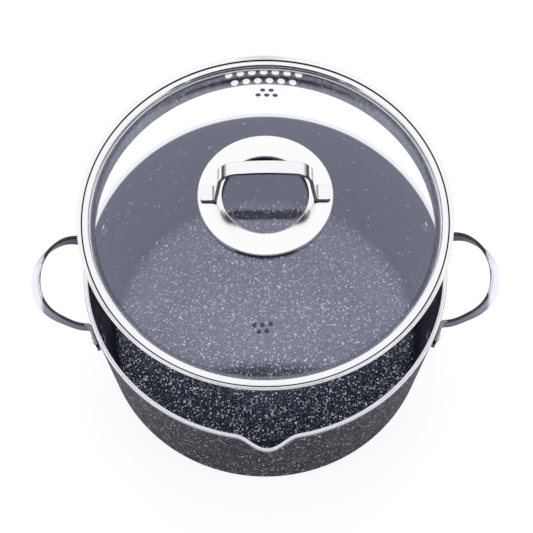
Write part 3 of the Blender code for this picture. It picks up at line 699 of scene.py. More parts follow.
def coating(name, dark, fine_share, coarse_share, inside):
    """Dark non-stick coating with pale specks, which inside thin out up the wall."""
    material, tree, shader = new_material(name)
    place = object_place(tree)
    if inside:
        height = coordinate(tree, place, "Z")
        spread = ease(tree, height, SPECKS_FULL, SPECKS_THIN, 1.0, SPECKS_LEFT)
        fine_share = product(tree, spread, fine_share)
        coarse_share = product(tree, spread, coarse_share)
    dust = place_group(
        tree, SPECKLE, place=place, cells=1150.0, share=fine_share, size=0.50, ragged=0.0004)
    fine = place_group(
        tree, SPECKLE, place=place, cells=600.0, share=fine_share, size=0.52, ragged=0.0007)
    coarse = place_group(
        tree, SPECKLE, place=place, cells=250.0, share=coarse_share, size=0.34, ragged=0.0014)
    faint = product(tree, dust["Mask"], DUST_STRENGTH)
    specks = math_node(tree, "MAXIMUM", fine["Mask"], coarse["Mask"])
    specks = math_node(tree, "MAXIMUM", specks, faint)
    cloud = noise(tree, place, scale=60.0, detail=3.0)
    ground = mix_color(tree, cloud, dark, shade(dark, 1.35))
    if inside:
        # The floor gets a painted sheen where its specks are full
        ground = mix_color(tree, spread, ground, FLOOR_PAINTED_SHEEN)
        # The floor gets painted light to the rear and a painted highlight at its edge
        ground = mix_color(tree, painted_floor_light(tree, place, spread), ground, CORNER_PAINTED_HIGHLIGHT)
    peel = noise(tree, place, scale=900.0, detail=2.0)
    grain = math_node(tree, "MULTIPLY_ADD", specks, 0.6, peel)
    add_bump(tree, shader, grain, strength=0.25, distance=0.0003)
    set_inputs(tree, shader, {
        "Base Color": mix_color(tree, specks, ground, SPECK_PALE),
        "Roughness": uneven(tree, cloud, 0.34, spread=0.10),
        "IOR": 1.30, "Specular Tint": COATING_SHEEN})
    return material


def steel(name, color, polish, smudge, hairs=0.04):
    """Stainless steel with faint smudges and hairlines."""
    material, tree, shader = new_material(name)
    place = object_place(tree)
    handling = place_group(tree, HANDLING, place=place, polish=polish, smudge=smudge)
    cloud = noise(tree, place, scale=25.0, detail=2.0)
    add_bump(tree, shader, handling["Height"], hairs, distance=0.00002)
    set_inputs(tree, shader, {
        "Base Color": mix_color(tree, cloud, shade(color, 0.96), shade(color)),
        "Roughness": handling["Roughness"], "Metallic": 1.0})
    return material


def masked_steel(name, color, polish, mask, dark):
    """Stainless steel with a painted darker colour where a mask is one: painted shade or a painted
    dark reflection.
    """
    material = steel(name, color, polish, 0.05)
    tree = material.node_tree
    shader = tree.nodes["Principled BSDF"]
    tone = shader.inputs["Base Color"].links[0].from_socket
    set_inputs(tree, shader, {"Base Color": mix_color(tree, mask(tree), tone, dark)})
    return material


def crease_painted_shade_mask(tree):
    """The crease of the band, where its flange is folded, which gets a painted shade."""
    off = math_node(tree, "SUBTRACT", origin_distance(tree, object_place(tree), FLAT), CREASE_RADIUS)
    off = math_node(tree, "ABSOLUTE", off)
    return ease(tree, off, CREASE_HALF_WIDTH, CREASE_HALF_WIDTH + CREASE_FADE, 1.0, 0.0)


def painted_edge_mask(tree):
    """What the camera sees, for a painted dark reflection on the front edges, which mirrors show as
    bright as the faces beside it.
    """
    return tree.nodes.new("ShaderNodeLightPath").outputs["Is Camera Ray"]


def arm_painted_reflection_mask(tree):
    """The arms of the side handles, which mirror the pot and get a painted dark reflection of it."""
    aside = math_node(tree, "ABSOLUTE", coordinate(tree, object_place(tree), "X"))
    return ease(tree, aside, ARM_INNER, ARM_OUTER, 1.0, 0.0)


def turned_metal(name, color, roughness, lines, strength):
    """Metal with the marks of a lathe round the pot's axis."""
    material, tree, shader = new_material(name)
    height = place_group(tree, TURNING, place=object_place(tree), lines=lines)["Height"]
    add_bump(tree, shader, height, strength, distance=0.0001)
    set_inputs(tree, shader, {
        "Base Color": mix_color(tree, height, shade(color), shade(color, 0.92)),
        "Roughness": uneven(tree, height, roughness, spread=0.08),
        "Metallic": 1.0})
    return material


def clear_glass():
    """Tempered glass with faint smudges, which lets the light of the lamps through."""
    material, tree, shader = new_material("clear_glass")
    place = object_place(tree)
    handling = place_group(tree, HANDLING, place=place, polish=0.0, smudge=0.03)
    wave = noise(tree, place, scale=14.0, detail=1.0)
    add_bump(tree, shader, wave, strength=0.05, distance=0.0005)
    set_inputs(tree, shader, {
        "Base Color": GLASS_CLEAR, "Roughness": handling["Roughness"],
        "Transmission Weight": 1.0, "IOR": 1.98, "Specular Tint": GLASS_SHEEN})
    light = tree.nodes.new("ShaderNodeLightPath").outputs
    dim = math_node(tree, "MAXIMUM", light["Is Shadow Ray"], light["Is Diffuse Ray"])
    through = add_node(tree, "ShaderNodeBsdfTransparent", {"Color": GLASS_SHADOW})
    surface = mix_shader(tree, dim, shader.outputs[0], through.outputs[0])
    set_inputs(tree, tree.nodes["Material Output"], {"Surface": surface})
    return material


def matt(name, color, roughness, scale):
    """A matt finish with a fine grain, for silicone and for printed enamel."""
    material, tree, shader = new_material(name)
    grain = noise(tree, object_place(tree), scale, detail=3.0)
    add_bump(tree, shader, grain, strength=0.15, distance=0.0001)
    set_inputs(tree, shader, {
        "Base Color": mix_color(tree, grain, shade(color), shade(color, 1.3)),
        "Roughness": uneven(tree, grain, roughness, spread=0.15)})
    return material


INSIDE_COATING = coating("speckled_coating_inside", COATING_DARK, 0.56, 0.34, True)
OUTSIDE_COATING = coating("speckled_coating_outside", COATING_OUTSIDE, 0.30, 0.22, False)
BARE_RIM = turned_metal("bare_rim", (0.95, 0.955, 1.0), 0.20, 4200.0, 0.03)
BASE_STEEL = turned_metal("base_steel", (0.60, 0.60, 0.62), 0.26, 2600.0, 0.30)
POLISHED_STEEL = steel("polished_steel", STEEL_BRIGHT, 0.04, 0.05)
# The band's steel carries a painted shade along its crease
BAND_STEEL = masked_steel("band_steel", STEEL_BRIGHT, 0.04, crease_painted_shade_mask, CREASE_PAINTED_SHADE)
# Side handles whose arms carry a painted dark reflection of the pot
SIDE_HANDLE_STEEL = masked_steel("side_handle_steel", STEEL_BLUISH, 0.04, arm_painted_reflection_mask, ARM_PAINTED_REFLECTION)
# Near-black steel for the lid handle's underside: a painted shade
UNDER_PAINTED_SHADE = steel("under_painted_shade", (0.04, 0.04, 0.05), 0.20, 0.05)
# Steel of the lid handle's front edges, with a painted dark reflection that only the camera sees
EDGE_STEEL = masked_steel("edge_steel", STEEL_BRIGHT, 0.15, painted_edge_mask, EDGE_PAINTED_REFLECTION)
# Near-black steel for the arms' upward faces: a painted dark reflection
ARM_TOP_PAINTED_REFLECTION = steel("arm_top_painted_reflection", (0.06, 0.06, 0.07), 0.15, 0.05)
ROSETTE_STEEL = steel("rosette_steel", (1.0, 1.0, 1.0), 0.12, 0.04, 0.01)
SATIN_STEEL = steel("satin_steel", (0.62, 0.62, 0.64), 0.30, 0.10, 0.20)
CLEAR_GLASS = clear_glass()
DARK_SILICONE = matt("dark_silicone", (0.030, 0.030, 0.035), 0.62, 600.0)
PRINT_ENAMEL = matt("print_enamel", (0.036, 0.034, 0.075), 0.50, 500.0)


def dress(obj, *materials):
    """Give an object its materials, in the order of the indexes of its faces."""
    for material in materials:
        obj.data.materials.append(material)


def finish_piece(obj, body, slot, nodes, *materials):
    """Give a piece its materials and its body, and hide the CAD nodes that it stands for. The slot
    is not used.
    """
    dress(obj, *materials)
    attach(obj, body)
    if nodes:
        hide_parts(*nodes)


def lid_piece(name, bm, aside=0.0):
    """An object for a bmesh made over the lid's seat, moved up to where the lid is held."""
    bmesh.ops.translate(bm, verts=bm.verts, vec=(aside, 0, SEAT_HEIGHT))
    return add_object(name, mesh_of(bm, name))


# Pot body


def inner_radius(z):
    """Inside radius of the pot's wall at a height."""
    return RIM_RADIUS - (POT_HEIGHT - z) * math.tan(WALL_TAPER)


def outer_radius(z):
    """Outside radius of the pot's wall at a height."""
    return inner_radius(z) + WALL / math.cos(WALL_TAPER)


def corner_center(wall_radius, floor_z, radius):
    """Centre of an arc that meets a floor and the tapered wall."""
    z = floor_z + radius
    return wall_radius(z) - radius / math.cos(WALL_TAPER), z


def recess_radius():
    """Radius of the seat for the steel disc in the base."""
    return corner_center(outer_radius, 0.0, OUTER_CORNER)[0] - DISC_MARGIN


def wall_points(wall_radius, low, high, count):
    """Points up one side of the wall, between two heights."""
    return [(wall_radius(z), z) for z in spaced(low, high, count)]


def pot_profile():
    """Half section of the pot, from the middle of its floor over the rim to the base."""
    inner = corner_center(inner_radius, FLOOR, INNER_CORNER)
    outer = corner_center(outer_radius, 0.0, OUTER_CORNER)
    shift = RIM_ROUNDING / math.cos(WALL_TAPER)
    lip_z = POT_HEIGHT - RIM_ROUNDING
    inner_lip = (inner_radius(lip_z) + shift, lip_z)
    outer_lip = (outer_radius(lip_z) - shift, lip_z)
    seat = recess_radius()
    depth = DISC_THICKNESS + GAP
    quarter = math.pi / 2
    below_spout = POT_HEIGHT - SPOUT_DEPTH
    just_under = lip_z - RIM_ROUNDING / 2
    inner_wall = wall_points(inner_radius, below_spout, just_under, SPOUT_RINGS)
    outer_wall = wall_points(outer_radius, just_under, below_spout, SPOUT_RINGS)
    points = [(0.0, FLOOR), (inner[0] / 2, FLOOR), (inner[0] - RIM_ROUNDING, FLOOR)]
    points += arc(inner, INNER_CORNER, -quarter, -WALL_TAPER, count=16)
    points += wall_points(inner_radius, MIDDLE_LOW, MIDDLE_HIGH, count=3) + inner_wall
    points += arc(inner_lip, RIM_ROUNDING, math.pi - WALL_TAPER, quarter, count=5)
    points += arc(outer_lip, RIM_ROUNDING, quarter, -WALL_TAPER, count=5)
    points += outer_wall + wall_points(outer_radius, MIDDLE_HIGH, MIDDLE_LOW, count=3)
    points += arc(outer, OUTER_CORNER, -WALL_TAPER, -quarter, count=18)
    points += [(outer[0] - RIM_ROUNDING, 0.0), (seat, 0.0), (seat, depth), (0.0, depth)]
    return points


def spout_angle(point):
    """Angle of a point from the middle of the spout."""
    return math.atan2(point.x, -point.y)


def refine_spout(bm):
    """Add columns of faces to the part of the wall where the spout is pressed."""
    step = 2 * math.pi / POT_STEPS
    half_steps = math.ceil(SPOUT_HALF_WIDTH / RIM_RADIUS / step)
    limit = half_steps * step
    bottom = POT_HEIGHT - SPOUT_DEPTH
    for i in range(1, 2 * half_steps * SPOUT_COLUMNS_PER_STEP):
        if i % SPOUT_COLUMNS_PER_STEP == 0:
            continue
        angle = i * step / SPOUT_COLUMNS_PER_STEP - limit
        faces = []
        for face in bm.faces:
            middle = face.calc_center_median()
            if middle.z > bottom and abs(spout_angle(middle) - angle) < step:
                faces.append(face)
        cut(bm, faces, (0, 0, 0), (*polar(1, angle), 0))


def press_spout(bm):
    """Push the wall outward and its rim a little down, over the width of the spout."""
    for vert in bm.verts:
        side = spout_angle(vert.co) * RIM_RADIUS / SPOUT_HALF_WIDTH
        depth = (POT_HEIGHT - vert.co.z) / SPOUT_DEPTH
        if abs(side) >= 1 or depth >= 1:
            continue
        push = math.cos(side * math.pi / 2) ** 2 * (1 - smooth_step(depth))
        outward = Vector((vert.co.x, vert.co.y, 0)).normalized()
        vert.co += outward * SPOUT_REACH * push
        vert.co.z -= SPOUT_DIP * push


OUTSIDE_FACES = 0
RIM_FACES = 1
INSIDE_FACES = 2


def mark_pot_faces(bm):
    """Sort the pot's faces into the outside, the bare rim and the inside."""
    bare = POT_HEIGHT - RIM_ROUNDING * BARE_SHARE
    for face in bm.faces:
        middle = face.calc_center_median()
        outward = Vector((middle.x, middle.y, 0)).normalized()
        if middle.z > bare:
            face.material_index = RIM_FACES
        elif face.normal.dot(outward) < INWARD_FACING or face.normal.z > FLOOR_FACING:
            face.material_index = INSIDE_FACES
        else:
            face.material_index = OUTSIDE_FACES


def handle_height():
    """Height of the side handles' feet and their rivets."""
    return POT_HEIGHT - HANDLE_DROP


def rivet_place(side, end):
    """Matrix of a rivet: its origin on the outside of the wall, +Z outward."""
    radius = outer_radius(handle_height())
    angle = math.asin(RIVET_HALF_SPACING / radius) * end
    if side < 0:
        angle = math.pi - angle
    normal = Vector((*polar(math.cos(WALL_TAPER), angle), -math.sin(WALL_TAPER)))
    return aligned(Vector((*polar(radius, angle), handle_height())), normal)


def rivet_holes(sides):
    """Cutters for the rivets of some sides."""
    bm = bmesh.new()
    reach = 3 * WALL
    for side in sides:
        for end in ENDS:
            add_rod(bm, RIVET_SHANK + HOLE_CLEARANCE, rivet_place(side, end), -reach, reach)
    return bm


def make_pot():
    """The pot with its spout, its bare rim and its rivet holes."""
    bm = spun(pot_profile(), POT_STEPS, closed=False)
    mark_pot_faces(bm)
    refine_spout(bm)
    press_spout(bm)
    bm.normal_update()
    pot = add_object("pot", mesh_of(bm, "pot"))
    dress(pot, OUTSIDE_COATING, BARE_RIM, INSIDE_COATING)
    drill(pot, rivet_holes(SIDES))
    finish_piece(pot, "pot", "speckled_coating", ["pot_body"])


def make_base_disc():
    """The steel disc in the base, with a pressed ring groove."""
    edge = recess_radius() - DISC_SIDE_GAP
    groove = edge - DISC_GROOVE_INSET
    half = DISC_GROOVE_WIDTH / 2
    slope = DISC_GROOVE_DEPTH
    outline = rounded([
        (0.0, 0.0, 0),
        (0.0, DISC_THICKNESS, 0),
        (edge, DISC_THICKNESS, HAIR_ROUNDING),
        (edge, DISC_CHAMFER, HAIR_ROUNDING),
        (edge - DISC_CHAMFER, 0.0, HAIR_ROUNDING),
        (groove + half, 0.0, SOFT_ROUNDING),
        (groove + half - slope, slope, SOFT_ROUNDING),
        (groove - half + slope, slope, SOFT_ROUNDING),
        (groove - half, 0.0, SOFT_ROUNDING),
    ], count=3)
    bm = spun(outline[1:] + outline[:1], ROSETTE_STEPS, closed=False)
    disc = add_object("base_disc", mesh_of(bm, "base_disc"))
    finish_piece(disc, "pot", "satin_steel", ["induction_base"], BASE_STEEL)


# Side handles and rivets


def half_handle_path(radius):
    """Plan of half of a handle's centre line, from its foot's tip to its outermost point."""
    root = math.asin((HANDLE_HALF_SPAN + FOOT_BEND) / (radius + FOOT_BEND))
    rivet = math.asin(RIVET_HALF_SPACING / radius)
    tip = rivet + FOOT_OVERHANG / radius
    round_off = FOOT_WIDTH / 2 / radius
    angles = [tip - round_off * (1 - math.cos(math.radians(turn))) for turn in FOOT_TIP_ANGLES]
    angles += spaced(tip - round_off, root, FOOT_ARC_POINTS)[1:]
    points = [polar(radius, angle) for angle in angles]
    center = polar(radius + FOOT_BEND, root)
    points += arc(center, FOOT_BEND, root - math.pi, -math.pi / 2, FOOT_BEND_POINTS)[1:]
    base = points[-1][0]
    reach = outer_radius(handle_height()) + HANDLE_PROJECTION
    power = 2 / HANDLE_ROUNDNESS
    for i in range(1, HANDLE_POINTS):
        turn = math.pi / 2 * (1 - i / HANDLE_POINTS)
        u = base + (reach - base) * math.cos(turn) ** power
        v = HANDLE_HALF_SPAN * math.sin(turn) ** power
        points.append((u, v))
    points.append((reach, 0.0))
    return points


def handle_stations(side):
    """Stations of a whole side handle on one side of the pot."""
    lift_off = GAP + STRAP_THICKNESS / 2
    radius = outer_radius(handle_height()) + lift_off * math.cos(WALL_TAPER)
    z = handle_height() - lift_off * math.sin(WALL_TAPER)
    half = half_handle_path(radius)
    base = half[-1 - HANDLE_POINTS][0]
    plan = half + [(u, -v) for u, v in reversed(half[:-1])]
    path = [(u, v, z + HANDLE_RISE * smooth_step((u - base) / HANDLE_RISE_LENGTH)) for u, v in plan]
    lengths = path_lengths(path)
    whole = lengths[-1]
    foot = lengths[len(half) - 1 - HANDLE_POINTS]
    first = FOOT_WIDTH / 2 * (1 - math.cos(math.radians(FOOT_TIP_ANGLES[0])))
    flip = Matrix.Diagonal((side, 1, 1))
    stations = []
    for point, length, heading in zip(path, lengths, path_directions(path)):
        from_tip = min(length, whole - length)
        blend = smooth_step((from_tip - foot) / STRAP_TWIST_LENGTH)
        lean = -WALL_TAPER + (STRAP_LEAN + WALL_TAPER) * blend
        outward = Vector((-heading.y, heading.x, 0)).normalized()
        upright = outward.cross(heading)
        if upright.z < 0:
            upright.negate()
        across = upright * math.cos(lean) - outward * math.sin(lean)
        through = outward * math.cos(lean) + upright * math.sin(lean)
        narrowing = smooth_step((from_tip - foot) / FOOT_TAPER_LENGTH)
        width = FOOT_WIDTH + (STRAP_WIDTH - FOOT_WIDTH) * narrowing
        tip = rounded_tip(from_tip + first, width / 2, FOOT_WIDTH / 2)
        stations.append(
            (flip @ Vector(point), flip @ across, flip @ through, 2 * tip, STRAP_THICKNESS))
    return stations


def dome(radius, height, base, count):
    """Profile of a low domed head, from its top on the axis down to its edge."""
    sphere = (radius ** 2 + height ** 2) / (2 * height)
    turns = spaced(0.0, math.asin(radius / sphere), count)[:-1]
    points = [(sphere * math.sin(t), base + height - sphere * (1 - math.cos(t))) for t in turns]
    return points + [(radius, base)]


def make_side_handle(side):
    """One bent strap with two feet on the wall, drilled for its rivets, and its rivets."""
    name = "side_handle_" + side_name(side)
    bm = strap(handle_stations(side))
    for face in bm.faces:
        # Upward faces of the arms get the painted dark reflection
        on_arm = ARM_EDGE_START < abs(face.calc_center_median().x) < ARM_EDGE_END
        face.material_index = int(on_arm and face.normal.z > ARM_EDGE_FACING)
    handle = add_object(name + "_strap", mesh_of(bm, name))
    dress(handle, SIDE_HANDLE_STEEL, ARM_TOP_PAINTED_REFLECTION)
    drill(handle, rivet_holes([side]))
    finish_piece(handle, "pot", "polished_steel", [name])
    outer_seat = GAP + STRAP_THICKNESS + GAP
    inner_seat = -WALL - GAP
    for end in ENDS:
        profile = dome(RIVET_OUTER_HEAD, RIVET_OUTER_HEIGHT, outer_seat, count=10)
        profile += [(RIVET_SHANK, outer_seat), (RIVET_SHANK, inner_seat)]
        inner = dome(RIVET_INNER_HEAD, RIVET_INNER_HEIGHT, 0.0, count=12)
        profile += [(r, inner_seat - z) for r, z in reversed(inner)]
        bm = spun(profile, RIVET_STEPS, closed=False)
        bmesh.ops.transform(bm, matrix=rivet_place(side, end), verts=bm.verts)
        key = "rivet_" + side_name(side) + "_" + end_name(end)
        rivet = add_object(key + "_heads", mesh_of(bm, key))
        finish_piece(rivet, "pot", "polished_steel", [key], POLISHED_STEEL)


# Lid glass, band and skirt


def dome_edge():
    """Radius where the dome of the glass meets its flat land."""
    return GLASS_RADIUS - LAND_WIDTH


def dome_radius():
    """Radius of the sphere that the top of the glass follows."""
    return (dome_edge() ** 2 + DOME_RISE ** 2) / (2 * DOME_RISE)


def glass_top(r):
    """Height of the top of the glass at a radius within the dome."""
    sphere = dome_radius()
    return LAND_HEIGHT + DOME_RISE - sphere + math.sqrt(sphere ** 2 - r ** 2)


def glass_under(r):
    """Height of the underside of the glass at a radius within the dome."""
    sphere = dome_radius()
    center = LAND_HEIGHT + DOME_RISE - sphere
    return center + math.sqrt((sphere - GLASS_THICKNESS) ** 2 - r ** 2)


def screw_hole_radius():
    """Radius of the holes that a screw passes."""
    return SCREW_SHANK + HOLE_CLEARANCE


def screw_rods(radius, low, high):
    """Cutters round the axes of both screws, between two heights over the seat."""
    bm = bmesh.new()
    for side in SIDES:
        place = Matrix.Translation((side * SCREW_OFFSET, 0, SEAT_HEIGHT))
        add_rod(bm, radius, place, low, high)
    return bm


def make_glass():
    """The glass: a dome with a narrow flat land at its edge, and two screw holes."""
    edge = dome_edge()
    edge_below = math.sqrt(2 * (dome_radius() - GLASS_THICKNESS) * DOME_RISE - DOME_RISE ** 2)
    under = LAND_HEIGHT - GLASS_THICKNESS
    top = spaced(0.0, edge - GAP, DOME_RINGS) + [edge]
    below = spaced(0.0, edge_below - GAP, DOME_RINGS) + [edge_below]
    profile = [(r, glass_top(r)) for r in top] + [(edge + GAP, LAND_HEIGHT)]
    corner = GLASS_THICKNESS / 3
    profile += arc((GLASS_RADIUS - corner, LAND_HEIGHT - corner), corner, math.pi / 2, 0, count=4)
    profile += arc((GLASS_RADIUS - corner, under + corner), corner, 0, -math.pi / 2, count=4)
    profile.append((edge_below + GAP, under))
    profile += [(r, glass_under(r)) for r in reversed(below)]
    glass = lid_piece("glass", spun(profile, LID_STEPS, closed=False))
    radius = screw_hole_radius() + GROMMET_WALL + HOLE_CLEARANCE
    low = glass_under(SCREW_OFFSET + GROMMET_COLLAR) - GLASS_THICKNESS
    drill(glass, screw_rods(radius, low, glass_top(0) + GLASS_THICKNESS))
    finish_piece(glass, "lid", "clear_glass", ["lid_glass"], CLEAR_GLASS)


def make_printed_marks():
    """Round marks printed on the glass over the large and the small holes."""
    bm = bmesh.new()
    center = Vector((0, 0, LAND_HEIGHT + DOME_RISE - dome_radius()))
    groups = ((LARGE_MARKS, LARGE_MARK_RADIUS), (SMALL_MARKS, SMALL_MARK_RADIUS))
    for places, radius in groups:
        for x, y in places:
            x /= MM_PER_METRE
            y /= MM_PER_METRE
            point = Vector((x, y, glass_top(math.hypot(x, y))))
            matrix = aligned(point, (point - center).normalized())
            add_rod(bm, radius, matrix, 0.0, MARK_THICKNESS, MARK_SEGMENTS)
    marks = lid_piece("printed_marks", bm)
    finish_piece(marks, "lid", "clear_glass", [], PRINT_ENAMEL)


def flange_under(r):
    """Height of the underside of the sloped flange, which rests on the rounded rim."""
    center = inner_radius(POT_HEIGHT - RIM_ROUNDING) + RIM_ROUNDING / math.cos(WALL_TAPER)
    touch_radius = center - RIM_ROUNDING * math.sin(FLANGE_SLOPE)
    touch_height = RIM_ROUNDING * (math.cos(FLANGE_SLOPE) - 1)
    return touch_height + (r - touch_radius) * math.tan(FLANGE_SLOPE)


def skirt_flange_under():
    """Height of the underside of the skirt's flange."""
    return LAND_HEIGHT - GLASS_THICKNESS - GAP - SKIRT_SHEET


def band_outline():
    """Section of the rolled band: a lip on the glass, a sloped flange, a crimp below."""
    sheet = BAND_SHEET
    half = BAND_SHEET / 2
    inner = GLASS_RADIUS + GAP + 2 * BAND_NIP
    lip = GLASS_RADIUS - BAND_COVER
    lip_under = LAND_HEIGHT + GAP + BAND_NIP
    outer = GLASS_RADIUS + BAND_SWELL
    crease = CREASE_RADIUS
    crown_top = lip_under + sheet + BAND_BULGE
    shoulder = lip + BAND_RISE
    crimp_top = skirt_flange_under() - GAP
    crimp_under = crimp_top - sheet
    crimp_wall = inner + sheet
    tip = outer + FLANGE_WIDTH
    flange = sheet / math.cos(FLANGE_SLOPE)
    return rounded([
        (lip, lip_under + sheet, 0.30 * sheet),
        (shoulder, crown_top, SHOULDER_ROUNDING),
        (shoulder + BAND_CROWN, crown_top - BAND_FALL, CROWN_ROUNDING),
        (crease - BAND_CREASE, flange_under(crease) + flange, BAND_CREASE),
        (crease, flange_under(crease) + flange - BAND_CREASE, CREASE_ROUNDING),
        (crease + BAND_CREASE, flange_under(crease + BAND_CREASE) + flange, SOFT_ROUNDING),
        (tip, flange_under(tip) + flange, 0.35 * sheet),
        (tip, flange_under(tip), 0.35 * sheet),
        (crimp_wall, flange_under(crimp_wall), SOFT_ROUNDING),
        (crimp_wall, crimp_under, half),
        (inner - BAND_CRIMP, crimp_under, FINE_ROUNDING),
        (inner - BAND_CRIMP, crimp_top, FINE_ROUNDING),
        (inner, crimp_top, FINE_ROUNDING),
        (inner, lip_under + half, SOFT_ROUNDING),
        (shoulder + BAND_CROWN, crown_top - BAND_FALL - sheet, HOLLOW_ROUNDING),
        (shoulder, crown_top - sheet, half),
        (lip, lip_under, FINE_ROUNDING),
    ], count=6)


def weld(bm):
    """Press the fine line of the welded joint into the band."""
    heading = Vector((*polar(1, WELD_ANGLE), 0))
    across = Vector((-heading.y, heading.x, 0))
    for offset in (-WELD_HALF_WIDTH, 0.0, WELD_HALF_WIDTH):
        faces = [face for face in bm.faces if face.calc_center_median().dot(heading) > 0]
        cut(bm, faces, across * offset, across)
    bm.normal_update()
    line = [v for v in bm.verts if v.co.dot(heading) > 0 and abs(v.co.dot(across)) < ON_LINE]
    shifts = [(vert, vert.normal * WELD_DEPTH) for vert in line]
    for vert, shift in shifts:
        vert.co -= shift


def make_band():
    """The rolled band with its welded joint."""
    bm = spun(band_outline(), LID_STEPS)
    weld(bm)
    band = lid_piece("band", bm)
    finish_piece(band, "lid", "polished_steel", ["lid_band"], BAND_STEEL)


def skirt_radius(drop):
    """Inside radius of the skirt at a depth below the seat plane."""
    share = (drop + skirt_flange_under()) / (SKIRT_DROP + skirt_flange_under())
    return GLASS_RADIUS - SKIRT_FLANGE_WIDTH - SKIRT_DRAFT * share


def add_hole_rows(bm, holes, facing):
    """Cutters for rows of round holes through the skirt, centred on a direction."""
    for drop, count in zip(holes["drops"], holes["counts"]):
        wall = skirt_radius(drop)
        for i in range(count):
            angle = facing + (i - (count - 1) / 2) * holes["pitch"] / wall
            outward = Vector((*polar(1, angle), 0))
            matrix = aligned(outward * wall + Vector((0, 0, SEAT_HEIGHT - drop)), outward)
            reach = 4 * SKIRT_SHEET
            add_rod(bm, holes["radius"], matrix, -reach, reach, HOLE_SEGMENTS)


def make_skirt():
    """The skirt: a flange under the glass, a tapered wall with holes, a bead below."""
    under = skirt_flange_under()
    top = under + SKIRT_SHEET
    sheet = SKIRT_SHEET
    flange = GLASS_RADIUS + SKIRT_SIDE_GAP
    neck = skirt_radius(sheet - under)
    bottom = -SKIRT_DROP
    low = skirt_radius(SKIRT_DROP)
    outline = rounded([
        (flange, top, FINE_ROUNDING),
        (flange, under, FINE_ROUNDING),
        (neck + sheet, under, sheet / 2),
        (low + sheet, bottom + 2 * BEAD, SOFT_ROUNDING),
        (low + sheet + BEAD, bottom + BEAD, BEAD_ROUNDING),
        (low + sheet, bottom, SOFT_ROUNDING),
        (low, bottom + BEAD / 2, FINE_ROUNDING),
        (neck, top, NECK_ROUNDING),
    ], count=5)
    skirt = lid_piece("skirt", spun(outline, LID_STEPS))
    cutters = bmesh.new()
    add_hole_rows(cutters, LARGE_HOLES, math.pi / 2)
    add_hole_rows(cutters, SMALL_HOLES, -math.pi / 2)
    drill(skirt, cutters)
    finish_piece(skirt, "lid", "polished_steel", ["strainer_skirt"], POLISHED_STEEL)


# Rosette, gasket, lid handle and its screws


def rosette_under(r):
    """Underside of the rosette at a radius."""
    return glass_top(r) + GAP + GASKET_THICKNESS + GAP


def rosette_top():
    """Flat top of the rosette."""
    return rosette_under(ROSETTE_HOLE) + ROSETTE_INNER_THICKNESS


def ring_band(inner, outer, height, count=12):
    """Points of a profile that follows a height formula between two radii."""
    return [(r, height(r)) for r in spaced(inner, outer, count)]


def screw_tip():
    """Height that a screw reaches inside the handle's foot."""
    return rosette_top() + GAP + SCREW_BITE


def screw_holes():
    """Cutters for the screws through gasket and rosette, blind in the handle's feet."""
    low = glass_top(ROSETTE_RADIUS) - GASKET_THICKNESS
    return screw_rods(screw_hole_radius(), low, screw_tip() + GAP)


def make_gasket():
    """The silicone ring between the glass and the rosette."""
    inner = ROSETTE_HOLE + GASKET_INSET
    outer = ROSETTE_RADIUS - GASKET_INSET
    upper = ring_band(inner, outer, lambda r: glass_top(r) + GAP + GASKET_THICKNESS)
    lower = ring_band(inner, outer, lambda r: glass_top(r) + GAP)
    gasket = lid_piece("gasket", spun(upper + lower[::-1], ROSETTE_STEPS))
    drill(gasket, screw_holes())
    finish_piece(gasket, "lid", "dark_silicone", ["rosette_gasket"], DARK_SILICONE)


def make_rosette():
    """The flat-topped ring whose underside follows the dome."""
    top = rosette_top()
    edge = ROSETTE_ROUNDING
    small = edge / 2
    profile = [(ROSETTE_RADIUS - 2 * edge, top)]
    profile += arc((ROSETTE_RADIUS - edge, top - edge), edge, math.pi / 2, 0.0, count=8)
    profile += ring_band(ROSETTE_HOLE, ROSETTE_RADIUS, rosette_under)[::-1]
    profile += arc((ROSETTE_HOLE + small, top - small), small, math.pi, math.pi / 2, count=6)
    profile.append((ROSETTE_HOLE + edge, top))
    rosette = lid_piece("rosette", spun(profile, ROSETTE_STEPS))
    drill(rosette, screw_holes())
    finish_piece(rosette, "lid", "polished_steel", ["lid_rosette"], ROSETTE_STEEL)


def filleted(points, radii, counts):
    """A path with each inner corner replaced by an arc of its own radius."""
    path = points[:1]
    for before, corner, after, radius, count in zip(points, points[1:], points[2:], radii, counts):
        corner = Vector(corner)
        back = (Vector(before) - corner).normalized()
        ahead = (Vector(after) - corner).normalized()
        path += corner_arc(corner, back, ahead, radius, count)[0]
    return path + points[-1:]


def lid_handle_path():
    """Centre line of the lid handle in its own plane, over the foot plane."""
    foot = ROSETTE_RADIUS - LID_HANDLE_INSET
    leg = foot - LID_HANDLE_FOOT_LENGTH
    shoulder = leg - LID_HANDLE_LEG_SLOPE
    half = [(foot, 0.0), (leg, 0.0), (shoulder, LID_HANDLE_SHOULDER_HEIGHT)]
    top = (0.0, LID_HANDLE_SHOULDER_HEIGHT + LID_HANDLE_CROWN)
    points = half + [top] + [(-x, z) for x, z in reversed(half)]
    bends = [LID_HANDLE_FOOT_BEND, LID_HANDLE_SHOULDER_BEND]
    radii = bends + [LID_HANDLE_CROWN_BEND] + bends[::-1]
    path = filleted(points, radii, LID_HANDLE_BEND_STEPS)
    tips = [LID_FOOT_CORNER * (1 - math.cos(math.radians(a))) for a in LID_FOOT_TIP_ANGLES]
    start = [(foot - tip, 0.0) for tip in tips]
    return path[:1] + start + path[1:-1] + [(-x, z) for x, z in reversed(start)] + path[-1:]


